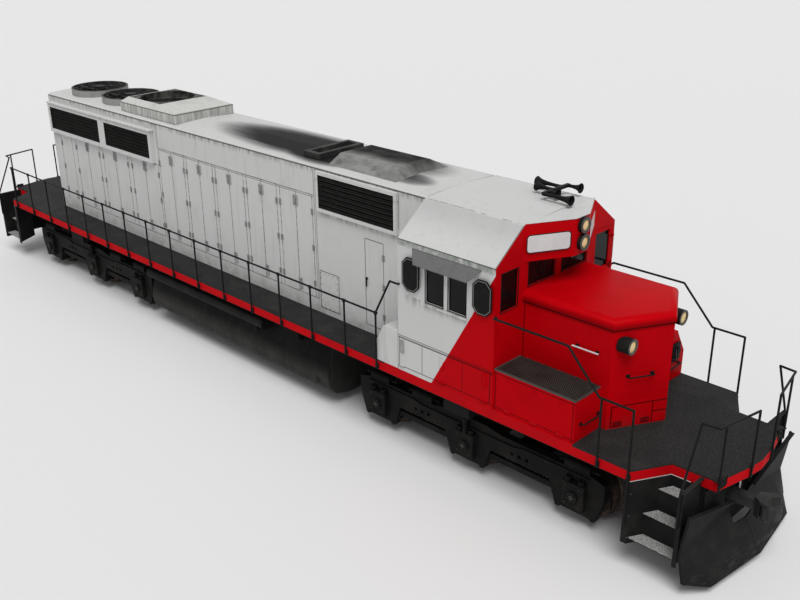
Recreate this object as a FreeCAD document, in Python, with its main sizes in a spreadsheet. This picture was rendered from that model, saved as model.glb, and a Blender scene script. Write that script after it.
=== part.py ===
import FreeCAD, Part
import Sketcher
import math
import os

# Six-axle road switcher diesel locomotive.
# Frame: +X forward, +Y to the left, +Z up, millimetres.
# The origin is on the floor under the middle of the locomotive, which stands on its wheel flanges.

os.makedirs("parts", exist_ok=True)
doc = FreeCAD.newDocument("Locomotive")
sheet = doc.addObject("Spreadsheet::Sheet", "Sizes")
next_row = 1


class Size:
    """A length with the sheet expression that gives it."""

    def __init__(self, value, text):
        self.value = value
        self.text = text

    def __add__(self, other):
        other = as_size(other)
        return Size(self.value + other.value, "(%s + %s)" % (self.text, other.text))

    def __radd__(self, other):
        return as_size(other) + self

    def __sub__(self, other):
        other = as_size(other)
        return Size(self.value - other.value, "(%s - %s)" % (self.text, other.text))

    def __rsub__(self, other):
        return as_size(other) - self

    def __mul__(self, other):
        other = as_size(other)
        return Size(self.value * other.value, "(%s * %s)" % (self.text, other.text))

    def __rmul__(self, other):
        return as_size(other) * self

    def __truediv__(self, other):
        other = as_size(other)
        return Size(self.value / other.value, "(%s / %s)" % (self.text, other.text))

    def __neg__(self):
        return Size(-self.value, "(0 - %s)" % self.text)


def as_size(value):
    """A plain number as a Size."""
    if isinstance(value, Size):
        return value
    return Size(float(value), "%.6f" % value)


def size(name, value):
    """One driving dimension in the sheet."""
    global next_row
    sheet.set("A%d" % next_row, name)
    sheet.set("B%d" % next_row, str(value))
    sheet.setAlias("B%d" % next_row, name)
    next_row += 1
    return Size(float(value), "Sizes.%s" % name)


def bind(piece, key, value):
    """Bind one property of a piece to an expression."""
    piece.setExpression(key, as_size(value).text)


# Wheels and level of the rail
wheel_radius = size("wheel_radius", 508)
flange_depth = size("flange_depth", 28)
axle_level = wheel_radius + flange_depth
wheel_back = size("wheel_back", 677)
rim_width = size("rim_width", 140)
axle_radius = size("axle_radius", 95)
journal_radius = size("journal_radius", 82)
journal_end = size("journal_end", 1130)
outer_axle = size("outer_axle", 2060)
middle_axle = size("middle_axle", 50)
inner_axle = size("inner_axle", 2045)
bogie_place = size("bogie_place", 5900)
fit_gap = size("fit_gap", 0.3)

# Underframe and deck
deck_top = size("deck_top", 1603)
deck_plate = size("deck_plate", 30)
sill_depth = size("sill_depth", 150)
sill_wall = size("sill_wall", 16)
deck_half = size("deck_half", 1506)
notch_start = size("notch_start", 9035)
notch_inner = size("notch_inner", 9341)
end_corner = size("end_corner", 9990)
end_inset = size("end_inset", 566)
end_half = deck_half - end_inset
notch_gap = size("notch_gap", 18)
notch_half = end_half + notch_gap
end_vertex = size("end_vertex", 10137)
vertex_half = size("vertex_half", 296)
deck_tip = size("deck_tip", 10171)
girder_bottom = size("girder_bottom", 1130)
girder_half = size("girder_half", 400)
girder_end = size("girder_end", 9790)
draft_rear = size("draft_rear", 9300)
draft_half = size("draft_half", 260)
draft_low = size("draft_low", 700)
draft_wall = size("draft_wall", 30)
draft_pin = size("draft_pin", 45)
pin_fit = size("pin_fit", 0.06)
bolster_half = size("bolster_half", 260)
centre_plate = size("centre_plate", 380)
centre_plate_drop = size("centre_plate_drop", 90)
centre_pin = size("centre_pin", 110)
centre_pin_drop = size("centre_pin_drop", 120)
deck_underside = deck_top - deck_plate
sill_bottom = deck_underside - sill_depth

# Fuel tank and reservoirs
tank_rear = size("tank_rear", -3055)
tank_front = size("tank_front", 2712)
tank_bottom = size("tank_bottom", 200)
tank_inset = size("tank_inset", 156)
tank_shoulder = size("tank_shoulder", 220)
tank_half = deck_half - tank_inset
tank_top_half = tank_half - tank_shoulder
reservoir_radius = size("reservoir_radius", 105)
reservoir_length = size("reservoir_length", 3985)
reservoir_inset = size("reservoir_inset", 176)
reservoir_level = size("reservoir_level", 1175)
reservoir_side = deck_half - reservoir_inset

# Long hood
hood_half = size("hood_half", 857)
hood_rear = size("hood_rear", -7613)
hood_eave = size("hood_eave", 4330)
hood_rise = size("hood_rise", 80)
hood_crown = hood_eave + hood_rise
hood_wall = size("hood_wall", 40)
hood_shoulder = size("hood_shoulder", 57)
door_bottom = size("door_bottom", 1865)
cabinet_door_low = size("cabinet_door_low", 1750)
engine_door_top = size("engine_door_top", 3830)
radiator_door_top = size("radiator_door_top", 3450)
engine_doors_rear = size("engine_doors_rear", -3000)
engine_door_width = size("engine_door_width", 918)
engine_door_post = size("engine_door_post", 80)
radiator_doors_rear = size("radiator_doors_rear", -7275)
radiator_door_single = size("radiator_door_single", 525)
radiator_door_width = size("radiator_door_width", 1075)
radiator_door_post = size("radiator_door_post", 145)
door_gap = size("door_gap", 5)
cabinet_door_rear = size("cabinet_door_rear", 3246)
cabinet_door_front = size("cabinet_door_front", 3690)
cabinet_door_top = size("cabinet_door_top", 3342)

# Grilles in the hood sides
radiator_rear = size("radiator_rear", -7452)
radiator_split_rear = size("radiator_split_rear", -5250)
radiator_split_front = size("radiator_split_front", -5000)
radiator_front = size("radiator_front", -3218)
radiator_low = size("radiator_low", 3574)
radiator_high = size("radiator_high", 4088)
intake_rear = size("intake_rear", 2139)
intake_front = size("intake_front", 3995)
intake_low = size("intake_low", 3649)
intake_high = size("intake_high", 4251)
grille_frame = size("grille_frame", 85)
grille_proud = size("grille_proud", 90)
intake_frame = size("intake_frame", 60)
intake_proud = size("intake_proud", 60)
ledge_proud = size("ledge_proud", 25)
ledge_thick = size("ledge_thick", 25)
blade_thick = size("blade_thick", 8)
blade_inset = size("blade_inset", 10)
blade_back = size("blade_back", 40)
grille_blades = 7

# Fans and roof
fan_place = size("fan_place", -6666)
fan_pitch = size("fan_pitch", 1370)
shroud_radius = size("shroud_radius", 645)
shroud_wall = size("shroud_wall", 40)
shroud_rise = size("shroud_rise", 130)
shroud_drop = size("shroud_drop", 140)
shroud_top = hood_crown + shroud_rise
shroud_bottom = hood_eave - shroud_drop
brake_fan_radius = size("brake_fan_radius", 585)
fan_hub = size("fan_hub", 130)
fan_clear = size("fan_clear", 25)
fan_depth = size("fan_depth", 70)
fan_shaft = size("fan_shaft", 30)
fan_blades = 6
brake_rear = size("brake_rear", -4523)
brake_front = size("brake_front", -2440)
brake_top_rear = size("brake_top_rear", -4408)
brake_top_front = size("brake_top_front", -3159)
brake_half = size("brake_half", 735)
brake_top_half = size("brake_top_half", 600)
brake_rise = size("brake_rise", 168)
brake_shoulder = hood_crown + brake_rise
brake_slope = size("brake_slope", 100)
brake_top = brake_shoulder + brake_slope
stack_rear = size("stack_rear", 1370)
stack_front = size("stack_front", 1790)
stack_half = size("stack_half", 545)
stack_rise = size("stack_rise", 70)
stack_top = hood_crown + stack_rise
stack_wall = size("stack_wall", 90)
hatch_rear = size("hatch_rear", 2150)
hatch_front = size("hatch_front", 3796)
hatch_top_front = size("hatch_top_front", 3612)
hatch_half = size("hatch_half", 650)
hatch_top_half = size("hatch_top_half", 375)
hatch_rise = size("hatch_rise", 135)
hatch_top = hood_crown + hatch_rise

# Engine under the hood
engine_rear = size("engine_rear", -3000)
engine_front = size("engine_front", 1900)
engine_half = size("engine_half", 480)
engine_top = size("engine_top", 3500)

# Cab
cab_rear = size("cab_rear", 4668)
cab_front = size("cab_front", 6625)
cab_wall = size("cab_wall", 60)
cab_eave = size("cab_eave", 3856)
cab_break = size("cab_break", 870)
cab_break_level = size("cab_break_level", 4355)
cab_floor = size("cab_floor", 2285)
cab_floor_plate = size("cab_floor_plate", 60)
prow_front = size("prow_front", 7015)
prow_half = size("prow_half", 155)
prow_bottom = size("prow_bottom", 3790)
side_window_low = size("side_window_low", 2957)
side_window_high = size("side_window_high", 3500)
rear_pane_rear = size("rear_pane_rear", 5261)
rear_pane_front = size("rear_pane_front", 5627)
front_pane_rear = size("front_pane_rear", 5726)
front_pane_front = size("front_pane_front", 6081)
windshield_inner = size("windshield_inner", 85)
windshield_outer = size("windshield_outer", 745)
windshield_low = size("windshield_low", 3370)
windshield_high = size("windshield_high", 3780)
outer_pane_low = size("outer_pane_low", 3133)
outer_pane_high = size("outer_pane_high", 3740)
glass_thick = size("glass_thick", 12)
door_edge = size("door_edge", 70)
door_width = size("door_width", 511)
door_outer = deck_half - door_edge
door_inner = door_outer - door_width
pane_margin = size("pane_margin", 60)
outer_pane_inner = door_inner + pane_margin
outer_pane_outer = door_outer - pane_margin
rear_door_low = size("rear_door_low", 2300)
front_door_low = size("front_door_low", 2475)
cab_door_high = size("cab_door_high", 3815)
door_thick = size("door_thick", 50)
leaf_gap = size("leaf_gap", 6)
hinge_radius = size("hinge_radius", 14)
hinge_off = size("hinge_off", 16)
hinge_pin = size("hinge_pin", 7)
hinge_length = size("hinge_length", 50)

# Seats, control stand and what hangs outside the cab windows
seat_back_off = size("seat_back_off", 137)
seat_depth = size("seat_depth", 520)
seat_half = size("seat_half", 240)
seat_height = size("seat_height", 400)
stand_depth = size("stand_depth", 350)
stand_off = size("stand_off", 125)
stand_height = size("stand_height", 950)
shade_rear = size("shade_rear", 4990)
shade_front = size("shade_front", 6360)
shade_seat = size("shade_seat", 3770)
shade_reach = size("shade_reach", 156)
shade_drop = size("shade_drop", 180)
shade_taper = size("shade_taper", 150)
shade_thick = size("shade_thick", 12)
wing_rear = size("wing_rear", 4804)
wing_front = size("wing_front", 6235)
wing_width = size("wing_width", 362)
wing_low = size("wing_low", 3064)
wing_high = size("wing_high", 3617)
wing_rise = size("wing_rise", 30)
wing_corner = size("wing_corner", 100)
wing_thick = size("wing_thick", 15)
wing_off = size("wing_off", 35)

# Nose and the boxes beside it
nose_half = size("nose_half", 842)
nose_corner = size("nose_corner", 8186)
nose_apex = size("nose_apex", 8655)
nose_lip = size("nose_lip", 3180)
nose_top = size("nose_top", 3335)
nose_wall = size("nose_wall", 30)
lip_proud = size("lip_proud", 18)
box_front = size("box_front", 8077)
box_inset = size("box_inset", 24)
box_half = deck_half - box_inset
right_box_top = size("right_box_top", 2285)
left_box_top = size("left_box_top", 2440)
left_box_break = size("left_box_break", 1240)
left_box_side = size("left_box_side", 2030)
lid_thick = size("lid_thick", 26)
lid_barrel = size("lid_barrel", 9)
lid_pin = size("lid_pin", 4)
lid_edge = size("lid_edge", 30)
left_lid_rear = size("left_lid_rear", 7170)
step_box_length = size("step_box_length", 503)
step_box_slope = size("step_box_slope", 157)
step_box_inset = size("step_box_inset", 4)
step_box_rear = cab_rear - step_box_length
step_box_knee = step_box_rear + step_box_slope
step_box_top = size("step_box_top", 2265)
step_box_low = size("step_box_low", 1989)

# Steps, pilots and plow
tread_low = size("tread_low", 535)
tread_shift = size("tread_shift", 175)
tread_depth = size("tread_depth", 195)
tread_thick = size("tread_thick", 25)
tread_front = size("tread_front", 9765)
stringer_low = size("stringer_low", 424)
well_side_low = size("well_side_low", 724)
plate_thick = size("plate_thick", 16)
pilot_face = size("pilot_face", 9830)
pilot_low = size("pilot_low", 420)
plate_top = size("plate_top", 1583)
step_flange = size("step_flange", 100)
flange_thick = size("flange_thick", 14)
plow_inset = size("plow_inset", 26)
plow_corner = size("plow_corner", 315)
plow_wing = deck_half - plow_inset
plow_half = plow_wing - plow_corner
plow_thick = size("plow_thick", 18)
plow_top_outer = size("plow_top_outer", 1289)
plow_top_inner = size("plow_top_inner", 897)
plow_fold_outer = size("plow_fold_outer", 615)
plow_fold_inner = size("plow_fold_inner", 861)
plow_low = size("plow_low", 122)
plow_wing_low = size("plow_wing_low", 217)
top_back_outer = size("top_back_outer", 122)
top_back_inner = size("top_back_inner", 137)
fold_back_outer = size("fold_back_outer", 42)
fold_back_inner = size("fold_back_inner", 84)
foot_wing = size("foot_wing", 150)
foot_half = size("foot_half", 370)
foot_middle = size("foot_middle", 515)
plow_return = size("plow_return", 20)
plow_notch = size("plow_notch", 290)
plow_notch_low = size("plow_notch_low", 600)
plow_lip = size("plow_lip", 45)

# Couplers
coupler_level = size("coupler_level", 879)
coupler_pivot = size("coupler_pivot", 9560)
coupler_reach = size("coupler_reach", 850)
shank_half = size("shank_half", 75)
knuckle_pin = size("knuckle_pin", 21)

# Lamps
headlight_radius = size("headlight_radius", 95)
headlight_rim = size("headlight_rim", 125)
headlight_low = size("headlight_low", 3975)
headlight_pitch = size("headlight_pitch", 268)
ditch_radius = size("ditch_radius", 108)
ditch_place = size("ditch_place", 688)
ditch_level = size("ditch_level", 2947)
rear_light_low = size("rear_light_low", 3850)
board_low = size("board_low", 3915)
board_high = size("board_high", 4210)
board_corner = size("board_corner", 40)
board_thick = size("board_thick", 24)

# Horn
horn_place = size("horn_place", 6170)
horn_side = size("horn_side", 480)
horn_reach = size("horn_reach", 340)
bell_radius = size("bell_radius", 80)
bell_throat = size("bell_throat", 22)

# Handrails
rail_radius = size("rail_radius", 17)
rail_level = size("rail_level", 2465)
rail_off = size("rail_off", 35)
rail_side = deck_half + rail_off
post_first = size("post_first", -8761)
post_pitch = size("post_pitch", 870.4)
post_count = 15
last_post = size("last_post", 4184)
post_foot = size("post_foot", 1465)
high_rail = size("high_rail", 3110)
front_rail = size("front_rail", 2525)
front_post_rear = size("front_post_rear", 8520)
front_post_front = size("front_post_front", 9015)
high_rail_front = size("high_rail_front", 7932)
end_post_low = size("end_post_low", 1445)
corner_post_off = size("corner_post_off", 40)
corner_post_out = size("corner_post_out", 20)
vertex_post_off = size("vertex_post_off", 21)
vertex_post_out = size("vertex_post_out", 6)
step_rail_off = size("step_rail_off", 5)
step_rail_out = size("step_rail_out", 179)
rail_bend_off = size("rail_bend_off", 19)
rail_bend_out = size("rail_bend_out", 150)
corner_post = end_corner + corner_post_off
corner_post_side = end_half + corner_post_out
vertex_post = end_vertex + vertex_post_off
vertex_post_side = vertex_half + vertex_post_out
step_rail = tread_front + step_rail_off
step_rail_side = end_half + step_rail_out
rail_bend = end_corner + rail_bend_off
rail_bend_side = end_half + rail_bend_out
step_rail_low = size("step_rail_low", 1055)

# Bogies
frame_inner = size("frame_inner", 1010)
frame_outer = size("frame_outer", 1150)
frame_low = size("frame_low", 610)
frame_top = size("frame_top", 960)
frame_hump = size("frame_hump", 1020)
frame_end = size("frame_end", 488)
leg_spread = size("leg_spread", 485)
hump_half = size("hump_half", 370)
hump_run = size("hump_run", 330)
pedestal_foot = size("pedestal_foot", 205)
foot_outer = size("foot_outer", 345)
foot_inner = size("foot_inner", 280)
jaw_half = size("jaw_half", 190)
jaw_low = size("jaw_low", 330)
jaw_high = size("jaw_high", 790)
tie_low = size("tie_low", 225)
tie_high = size("tie_high", 310)
rod_low = size("rod_low", 430)
rod_high = size("rod_high", 525)
hole_level = size("hole_level", 725)
hole_pitch = size("hole_pitch", 145)
hole_radius = size("hole_radius", 33)
brake_cylinder = size("brake_cylinder", 80)
brake_cylinder_length = size("brake_cylinder_length", 440)
damper_radius = size("damper_radius", 45)
box_cover = size("box_cover", 95)
box_cover_depth = size("box_cover_depth", 28)
axle_box_low = size("axle_box_low", 190)
axle_box_high = size("axle_box_high", 230)
axle_box_proud = size("axle_box_proud", 85)
motor_height = size("motor_height", 270)
bridge_half = size("bridge_half", 480)
bowl_rim = size("bowl_rim", 60)
motor_half = size("motor_half", 520)
transom_half = size("transom_half", 190)

zero = as_size(0)
plane_roles = {"XY": "XY_Plane", "XZ": "XZ_Plane", "YZ": "YZ_Plane"}
node_names = []


def node(piece, name):
    """Name the finished sub-part that goes to a file."""
    piece.Label = name
    node_names.append((name, piece))
    return piece


def block(name, low, high):
    """A rectangular block between two corners."""
    piece = doc.addObject("Part::Box", name)
    for key, place, start, end in zip(("Length", "Width", "Height"), "xyz", low, high):
        bind(piece, key, as_size(end) - start)
        bind(piece, "Placement.Base." + place, start)
    return piece


def round_bar(name, start, length, radius, axis):
    """A cylinder from start along +X, +Y or +Z."""
    turns = {
        "X": FreeCAD.Rotation(FreeCAD.Vector(0, 1, 0), 90),
        "Y": FreeCAD.Rotation(FreeCAD.Vector(1, 0, 0), -90),
        "Z": FreeCAD.Rotation(),
    }
    piece = doc.addObject("Part::Cylinder", name)
    piece.Placement = FreeCAD.Placement(FreeCAD.Vector(), turns[axis])
    bind(piece, "Radius", radius)
    bind(piece, "Height", length)
    for place, value in zip("xyz", start):
        bind(piece, "Placement.Base." + place, value)
    return piece


def new_body(name):
    """An empty body that may hold several solids."""
    body = doc.addObject("PartDesign::Body", name)
    body.AllowCompound = True
    return body


def draw(body, name, plane, level, outlines, circles=()):
    """A sketch of straight-sided outlines and circles on one of the body's own planes."""
    sketch = body.newObject("Sketcher::SketchObject", name)
    for feature in body.Origin.OriginFeatures:
        if feature.Role == plane_roles[plane]:
            sketch.AttachmentSupport = (feature, "")
    sketch.MapMode = "FlatFace"
    bind(sketch, "AttachmentOffset.Base.z", level)
    for outline in outlines:
        corners = [(as_size(across), as_size(up)) for across, up in outline]
        first = sketch.GeometryCount
        count = len(corners)
        vectors = [FreeCAD.Vector(across.value, up.value, 0) for across, up in corners]
        sketch.addGeometry([
            Part.LineSegment(vectors[i], vectors[(i + 1) % count]) for i in range(count)])
        sketch.addConstraint([
            Sketcher.Constraint("Coincident", first + i, 2, first + (i + 1) % count, 1)
            for i in range(count)])
        for i, corner in enumerate(corners):
            fix_point(sketch, first + i, 1, corner)
    for across, up, radius in circles:
        across = as_size(across)
        up = as_size(up)
        radius = as_size(radius)
        centre = FreeCAD.Vector(across.value, up.value, 0)
        index = sketch.addGeometry(Part.Circle(centre, FreeCAD.Vector(0, 0, 1), radius.value))
        fix_point(sketch, index, 3, (across, up))
        place = sketch.addConstraint(Sketcher.Constraint("Radius", index, radius.value))
        sketch.setExpression("Constraints[%d]" % place, radius.text)
    return sketch


def fix_point(sketch, index, end, corner):
    """Hold one point of a sketch at its two distances from the axes."""
    for kind, axis, distance in zip(("DistanceX", "DistanceY"), (-2, -1), corner):
        if distance.text == zero.text:
            sketch.addConstraint(Sketcher.Constraint("PointOnObject", index, end, axis))
        else:
            place = sketch.addConstraint(
                Sketcher.Constraint(kind, -1, 1, index, end, distance.value))
            sketch.setExpression("Constraints[%d]" % place, distance.text)


def prism(name, plane, low, high, outlines, circles=()):
    """A body padded from an outline between two levels along the plane's axis."""
    body = new_body(name)
    low = as_size(low)
    high = as_size(high)
    level = -high if plane == "XZ" else low
    sketch = draw(body, name + "_sketch", plane, level, outlines, circles)
    pad = body.newObject("PartDesign::Pad", name + "_pad")
    pad.Profile = sketch
    bind(pad, "Length", high - low)
    return body


def turned(name, outline, place=(zero, zero, zero)):
    """A body turned about its own Y axis from an outline of (radius, y) points."""
    body = new_body(name)
    sketch = draw(body, name + "_sketch", "XY", zero, [outline])
    turn = body.newObject("PartDesign::Revolution", name + "_turn")
    turn.Profile = sketch
    turn.ReferenceAxis = (sketch, ["V_Axis"])
    turn.Angle = 360
    for key, value in zip("xyz", place):
        bind(body, "Placement.Base." + key, value)
    return body


def loft(name, plane, sections):
    """A body lofted straight through outlines at their levels."""
    body = new_body(name)
    sketches = [
        draw(body, "%s_section_%d" % (name, i), plane, level, [outline])
        for i, (level, outline) in enumerate(sections)]
    feature = body.newObject("PartDesign::AdditiveLoft", name + "_loft")
    feature.Profile = sketches[0]
    feature.Sections = sketches[1:]
    feature.Ruled = True
    return body


def join(name, pieces):
    """Pieces fused into one."""
    piece = doc.addObject("Part::MultiFuse", name)
    piece.Shapes = pieces
    piece.Refine = True
    return piece


def group(name, pieces):
    """Pieces that lie apart, kept as one sub-part."""
    piece = doc.addObject("Part::Compound", name)
    piece.Links = pieces
    return piece


def cut(name, base, tools):
    """A piece with other pieces cut out of it."""
    piece = doc.addObject("Part::Cut", name)
    piece.Base = base
    piece.Tool = tools[0] if len(tools) == 1 else group(name + "_tools", tools)
    piece.Refine = True
    return piece


def mirror(name, source, normal):
    """A copy of a piece reflected in a plane through the origin."""
    piece = doc.addObject("Part::Mirroring", name)
    piece.Source = source
    piece.Normal = FreeCAD.Vector(*normal)
    return piece


def both_sides(name, piece):
    """A piece on the right and its reflection on the left."""
    return [piece, mirror(name + "_left", piece, (0, 1, 0))]


def mirrored_outline(quarter):
    """A closed outline from the points of its quarter in +X, -Y, reflected in both axes."""
    front = quarter + [(x, -as_size(y)) for x, y in reversed(quarter)]
    rear = [(-as_size(x), -as_size(y)) for x, y in front]
    points = []
    for x, y in front + rear:
        if points and as_size(y).value == 0 and as_size(points[-1][1]).value == 0:
            continue
        points.append((as_size(x), zero if as_size(y).value == 0 else as_size(y)))
    return points


def bar_between(start, end, radius):
    """The plain shape of a round bar between two points, with round ends."""
    low = FreeCAD.Vector(*[as_size(value).value for value in start])
    high = FreeCAD.Vector(*[as_size(value).value for value in end])
    radius = as_size(radius).value
    run = high - low
    bar = Part.makeCylinder(radius, run.Length, low, run)
    return [bar, Part.makeSphere(radius, high)]


def underframe():
    """Deck with its side sills, centre girder, bolsters and centre plates."""
    deck_edge = mirrored_outline([
        (notch_start, -deck_half), (notch_inner, -notch_half), (end_corner, -end_half),
        (end_vertex, -vertex_half), (deck_tip, zero)])
    inner_edge = mirrored_outline([
        (notch_start - sill_wall, -deck_half + sill_wall),
        (notch_inner - sill_wall, -notch_half + sill_wall),
        (end_corner - sill_wall, -end_half + sill_wall),
        (end_vertex - sill_wall, -vertex_half), (deck_tip - sill_wall, zero)])
    slab = prism("deck_slab", "XY", sill_bottom, deck_top, [deck_edge])
    hollow = prism("deck_hollow", "XY", sill_bottom, deck_underside, [inner_edge])
    pieces = [cut("deck_pan", slab, [hollow])]
    for side in (-1, 1):
        outer = girder_half * side
        inner = (girder_half - plate_thick * 2) * side
        low, high = (outer, inner) if side < 0 else (inner, outer)
        pieces.append(block("girder_web_%d" % side, (-girder_end, low, girder_bottom),
                            (girder_end, high, deck_underside)))
    pieces.append(block("girder_floor", (-girder_end, -girder_half, girder_bottom),
                        (girder_end, girder_half, girder_bottom + plate_thick)))
    for end in (-1, 1):
        place = bogie_place * end
        pieces.append(block("body_bolster_%d" % end,
                            (place - bolster_half, -deck_half + sill_wall, girder_bottom + 100),
                            (place + bolster_half, deck_half - sill_wall, deck_underside)))
        pieces.append(round_bar("centre_disc_%d" % end,
                                (place, zero, girder_bottom - centre_plate_drop),
                                centre_plate_drop, centre_plate, "Z"))
        pieces.append(round_bar("centre_pin_%d" % end,
                                (place, zero, girder_bottom - centre_plate_drop - centre_pin_drop),
                                centre_pin_drop, centre_pin, "Z"))
    outer = block("draft_outer", (draft_rear, -draft_half, draft_low),
                  (girder_end, draft_half, girder_bottom))
    room = block("draft_room", (draft_rear + draft_wall, -draft_half + draft_wall,
                                coupler_level - 90),
                 (girder_end + 1, draft_half - draft_wall, coupler_level + 90))
    pin = round_bar("draft_pin", (coupler_pivot, zero, draft_low), girder_bottom - draft_low,
                    draft_pin, "Z")
    pocket = join("draft_pocket", [cut("draft_shell", outer, [room]), pin])
    pieces.append(pocket)
    pieces.append(mirror("draft_pocket_rear", pocket, (1, 0, 0)))
    for index, place in enumerate((tank_rear + 300, (tank_rear + tank_front) / 2, tank_front - 300)):
        pieces.append(block("tank_bearer_%d" % index, (place - 60, -tank_top_half, sill_bottom),
                            (place + 60, tank_top_half, deck_underside)))
    node(join("underframe", pieces), "underframe")


def fuel_tank():
    """Fuel tank with bulged sides, hung under the middle of the deck."""
    outline = [
        (-tank_half * 0.63, tank_bottom), (tank_half * 0.63, tank_bottom),
        (tank_half * 0.85, tank_bottom + 70), (tank_half * 0.97, tank_bottom + 240),
        (tank_half, tank_bottom + 430), (tank_half * 0.965, tank_bottom + 640),
        (tank_top_half, sill_bottom), (-tank_top_half, sill_bottom),
        (-tank_half * 0.965, tank_bottom + 640), (-tank_half, tank_bottom + 430),
        (-tank_half * 0.97, tank_bottom + 240), (-tank_half * 0.85, tank_bottom + 70)]
    solid = prism("tank_solid", "YZ", tank_rear, tank_front, [outline])
    saddle = block("tank_saddle",
                   (tank_rear - 1, -girder_half - fit_gap, girder_bottom - fit_gap),
                   (tank_front + 1, girder_half + fit_gap, deck_top))
    node(cut("fuel_tank", solid, [saddle]), "fuel_tank")


def air_reservoirs():
    """Two air reservoirs under the sills beside the tank."""
    level = reservoir_level
    side = reservoir_side
    tube = round_bar("reservoir_tube", (tank_rear, -side, level), reservoir_length,
                     reservoir_radius, "X")
    straps = [
        block("reservoir_strap_%d" % i,
              (tank_rear + reservoir_length * share - 30, -side - 20, level),
              (tank_rear + reservoir_length * share + 30, -side + 20, deck_underside))
        for i, share in enumerate((0.1, 0.5, 0.9))]
    one = join("reservoir_right", [tube] + straps)
    node(group("air_reservoirs", both_sides("reservoir", one)), "air_reservoirs")


def diagonal_at(side):
    """X of the step well's diagonal wall where its distance from the middle is side."""
    return notch_start + (deck_half - side) * (notch_inner - notch_start) / (deck_half - notch_half)


def steps_and_pilots():
    """Step wells with their treads, and the end plates of the underframe."""
    wall = [
        (notch_start, -deck_half), (notch_start + plate_thick, -deck_half),
        (notch_inner + plate_thick, -notch_half), (notch_inner, -notch_half)]
    edge = -deck_half + flange_thick
    inner_edge = -notch_half - fit_gap
    flange_front = tread_front + step_flange * 0.6
    pieces = [
        prism("well_diagonal", "XY", stringer_low, sill_bottom, [wall]),
        block("well_flange", (notch_start - step_flange * 0.7, -deck_half, stringer_low),
              (notch_start + step_flange * 0.3, edge, sill_bottom - fit_gap)),
        block("well_side", (notch_inner, -end_half, well_side_low),
              (pilot_face, -end_half + plate_thick, sill_bottom)),
        block("front_plate", (tread_front, -deck_half, stringer_low),
              (tread_front + plate_thick, -end_half, sill_bottom)),
        block("front_plate_upper", (tread_front, -deck_half, sill_bottom - 1),
              (tread_front + plate_thick, inner_edge, plate_top)),
        block("front_plate_edge", (tread_front, -deck_half, stringer_low),
              (flange_front, edge, plate_top)),
        block("front_plate_cap", (tread_front, -deck_half, plate_top - flange_thick),
              (flange_front, inner_edge, plate_top))]
    rise = (deck_top - tread_low) / 3
    for i in range(3):
        outer = deck_half - tread_thick - tread_shift * i
        inner = outer - tread_depth
        level = tread_low + rise * i
        tread = [
            (diagonal_at(outer), -outer), (tread_front + 1, -outer),
            (tread_front + 1, -inner), (diagonal_at(inner), -inner)]
        pieces.append(prism("tread_%d" % i, "XY", level - tread_thick, level, [tread]))
        back = inner - plate_thick
        riser = [
            (diagonal_at(inner), -inner), (tread_front + 1, -inner),
            (tread_front + 1, -back), (diagonal_at(back), -back)]
        top = level + rise if i < 2 else sill_bottom
        pieces.append(prism("riser_%d" % i, "XY", level - tread_thick, top, [riser]))
    right = join("step_well_right", pieces)
    face = block("pilot_face_plate", (pilot_face - plate_thick, -end_half, pilot_low),
                 (pilot_face, end_half, sill_bottom))
    pocket = block("pilot_pocket", (pilot_face - 40, -draft_half, draft_low),
                   (pilot_face + 1, draft_half, sill_bottom + 1))
    front = join("pilot", both_sides("step_well", right) + [cut("pilot_plate", face, [pocket])])
    node(front, "pilot_front")
    node(mirror("pilot_mirrored", front, (1, 0, 0)), "pilot_rear")


def plow():
    """Front plow: folded blades that meet in a ridge, cut out for the coupler."""
    wing = plow_section(plow_wing, foot_wing, plow_wing_low)
    blade = loft("plow_half_blade", "XZ", [
        (plow_wing, wing), (plow_half, plow_section(plow_half, foot_half, plow_low)),
        (zero, plow_section(zero, foot_middle, plow_low))])
    edge = wing[:3] + [(across - plow_return, up) for across, up in wing[3:]]
    rim = prism("plow_rim", "XZ", -plow_wing - plow_thick, -plow_wing, [edge])
    lip = loft("plow_lip", "XZ", [
        (place, plow_lip_section(place)) for place in (plow_wing, plow_notch)])
    pieces = both_sides("plow_right", join("plow_right_blade", [blade, rim, lip]))
    for way in (-1, 1):
        for i, place in enumerate((draft_half * 1.6, draft_half * 3.2)):
            low = place * way - plow_thick
            back, fold = plow_fold(place)
            pieces.append(block("plow_bracket_%d_%d" % (way, i), (pilot_face, low, fold - 110),
                                (back - plow_thick * 0.5, low + plow_thick * 2, fold + 110)))
    blades = join("plow_blades", pieces)
    notch = block("plow_gap", (pilot_face - 1, -plow_notch, plow_notch_low),
                  (pilot_face + foot_middle, plow_notch, plow_top_outer))
    node(cut("plow", blades, [notch]), "plow")


def plow_between(outer, inner, place):
    """A size that changes evenly from the plow's middle to its wing."""
    return inner + (outer - inner) * place / plow_wing


def plow_fold(place):
    """Point of the fold line at a distance from the middle."""
    return (pilot_face + plow_between(fold_back_outer, fold_back_inner, place),
            plow_between(plow_fold_outer, plow_fold_inner, place))


def plow_top(place):
    """Point of the upper edge at a distance from the middle."""
    return (pilot_face + plow_between(top_back_outer, top_back_inner, place),
            plow_between(plow_top_outer, plow_top_inner, place))


def plow_section(place, foot, low):
    """Section of a blade: top, fold and foot, and the same points at its back."""
    top_x, top = plow_top(place)
    fold_x, fold = plow_fold(place)
    foot_x = pilot_face + foot
    return [
        (top_x, top), (fold_x, fold), (foot_x, low), (foot_x - plow_thick * 2, low),
        (fold_x - plow_thick, fold + plow_thick * 0.5), (top_x - plow_thick, top)]


def plow_lip_section(place):
    """Section of the lip along the upper edge of a blade."""
    front, top = plow_top(place)
    return [
        (front - plow_thick, top - plow_thick), (front + plow_lip, top - plow_thick),
        (front + plow_lip, top), (front - plow_thick, top)]


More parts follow.
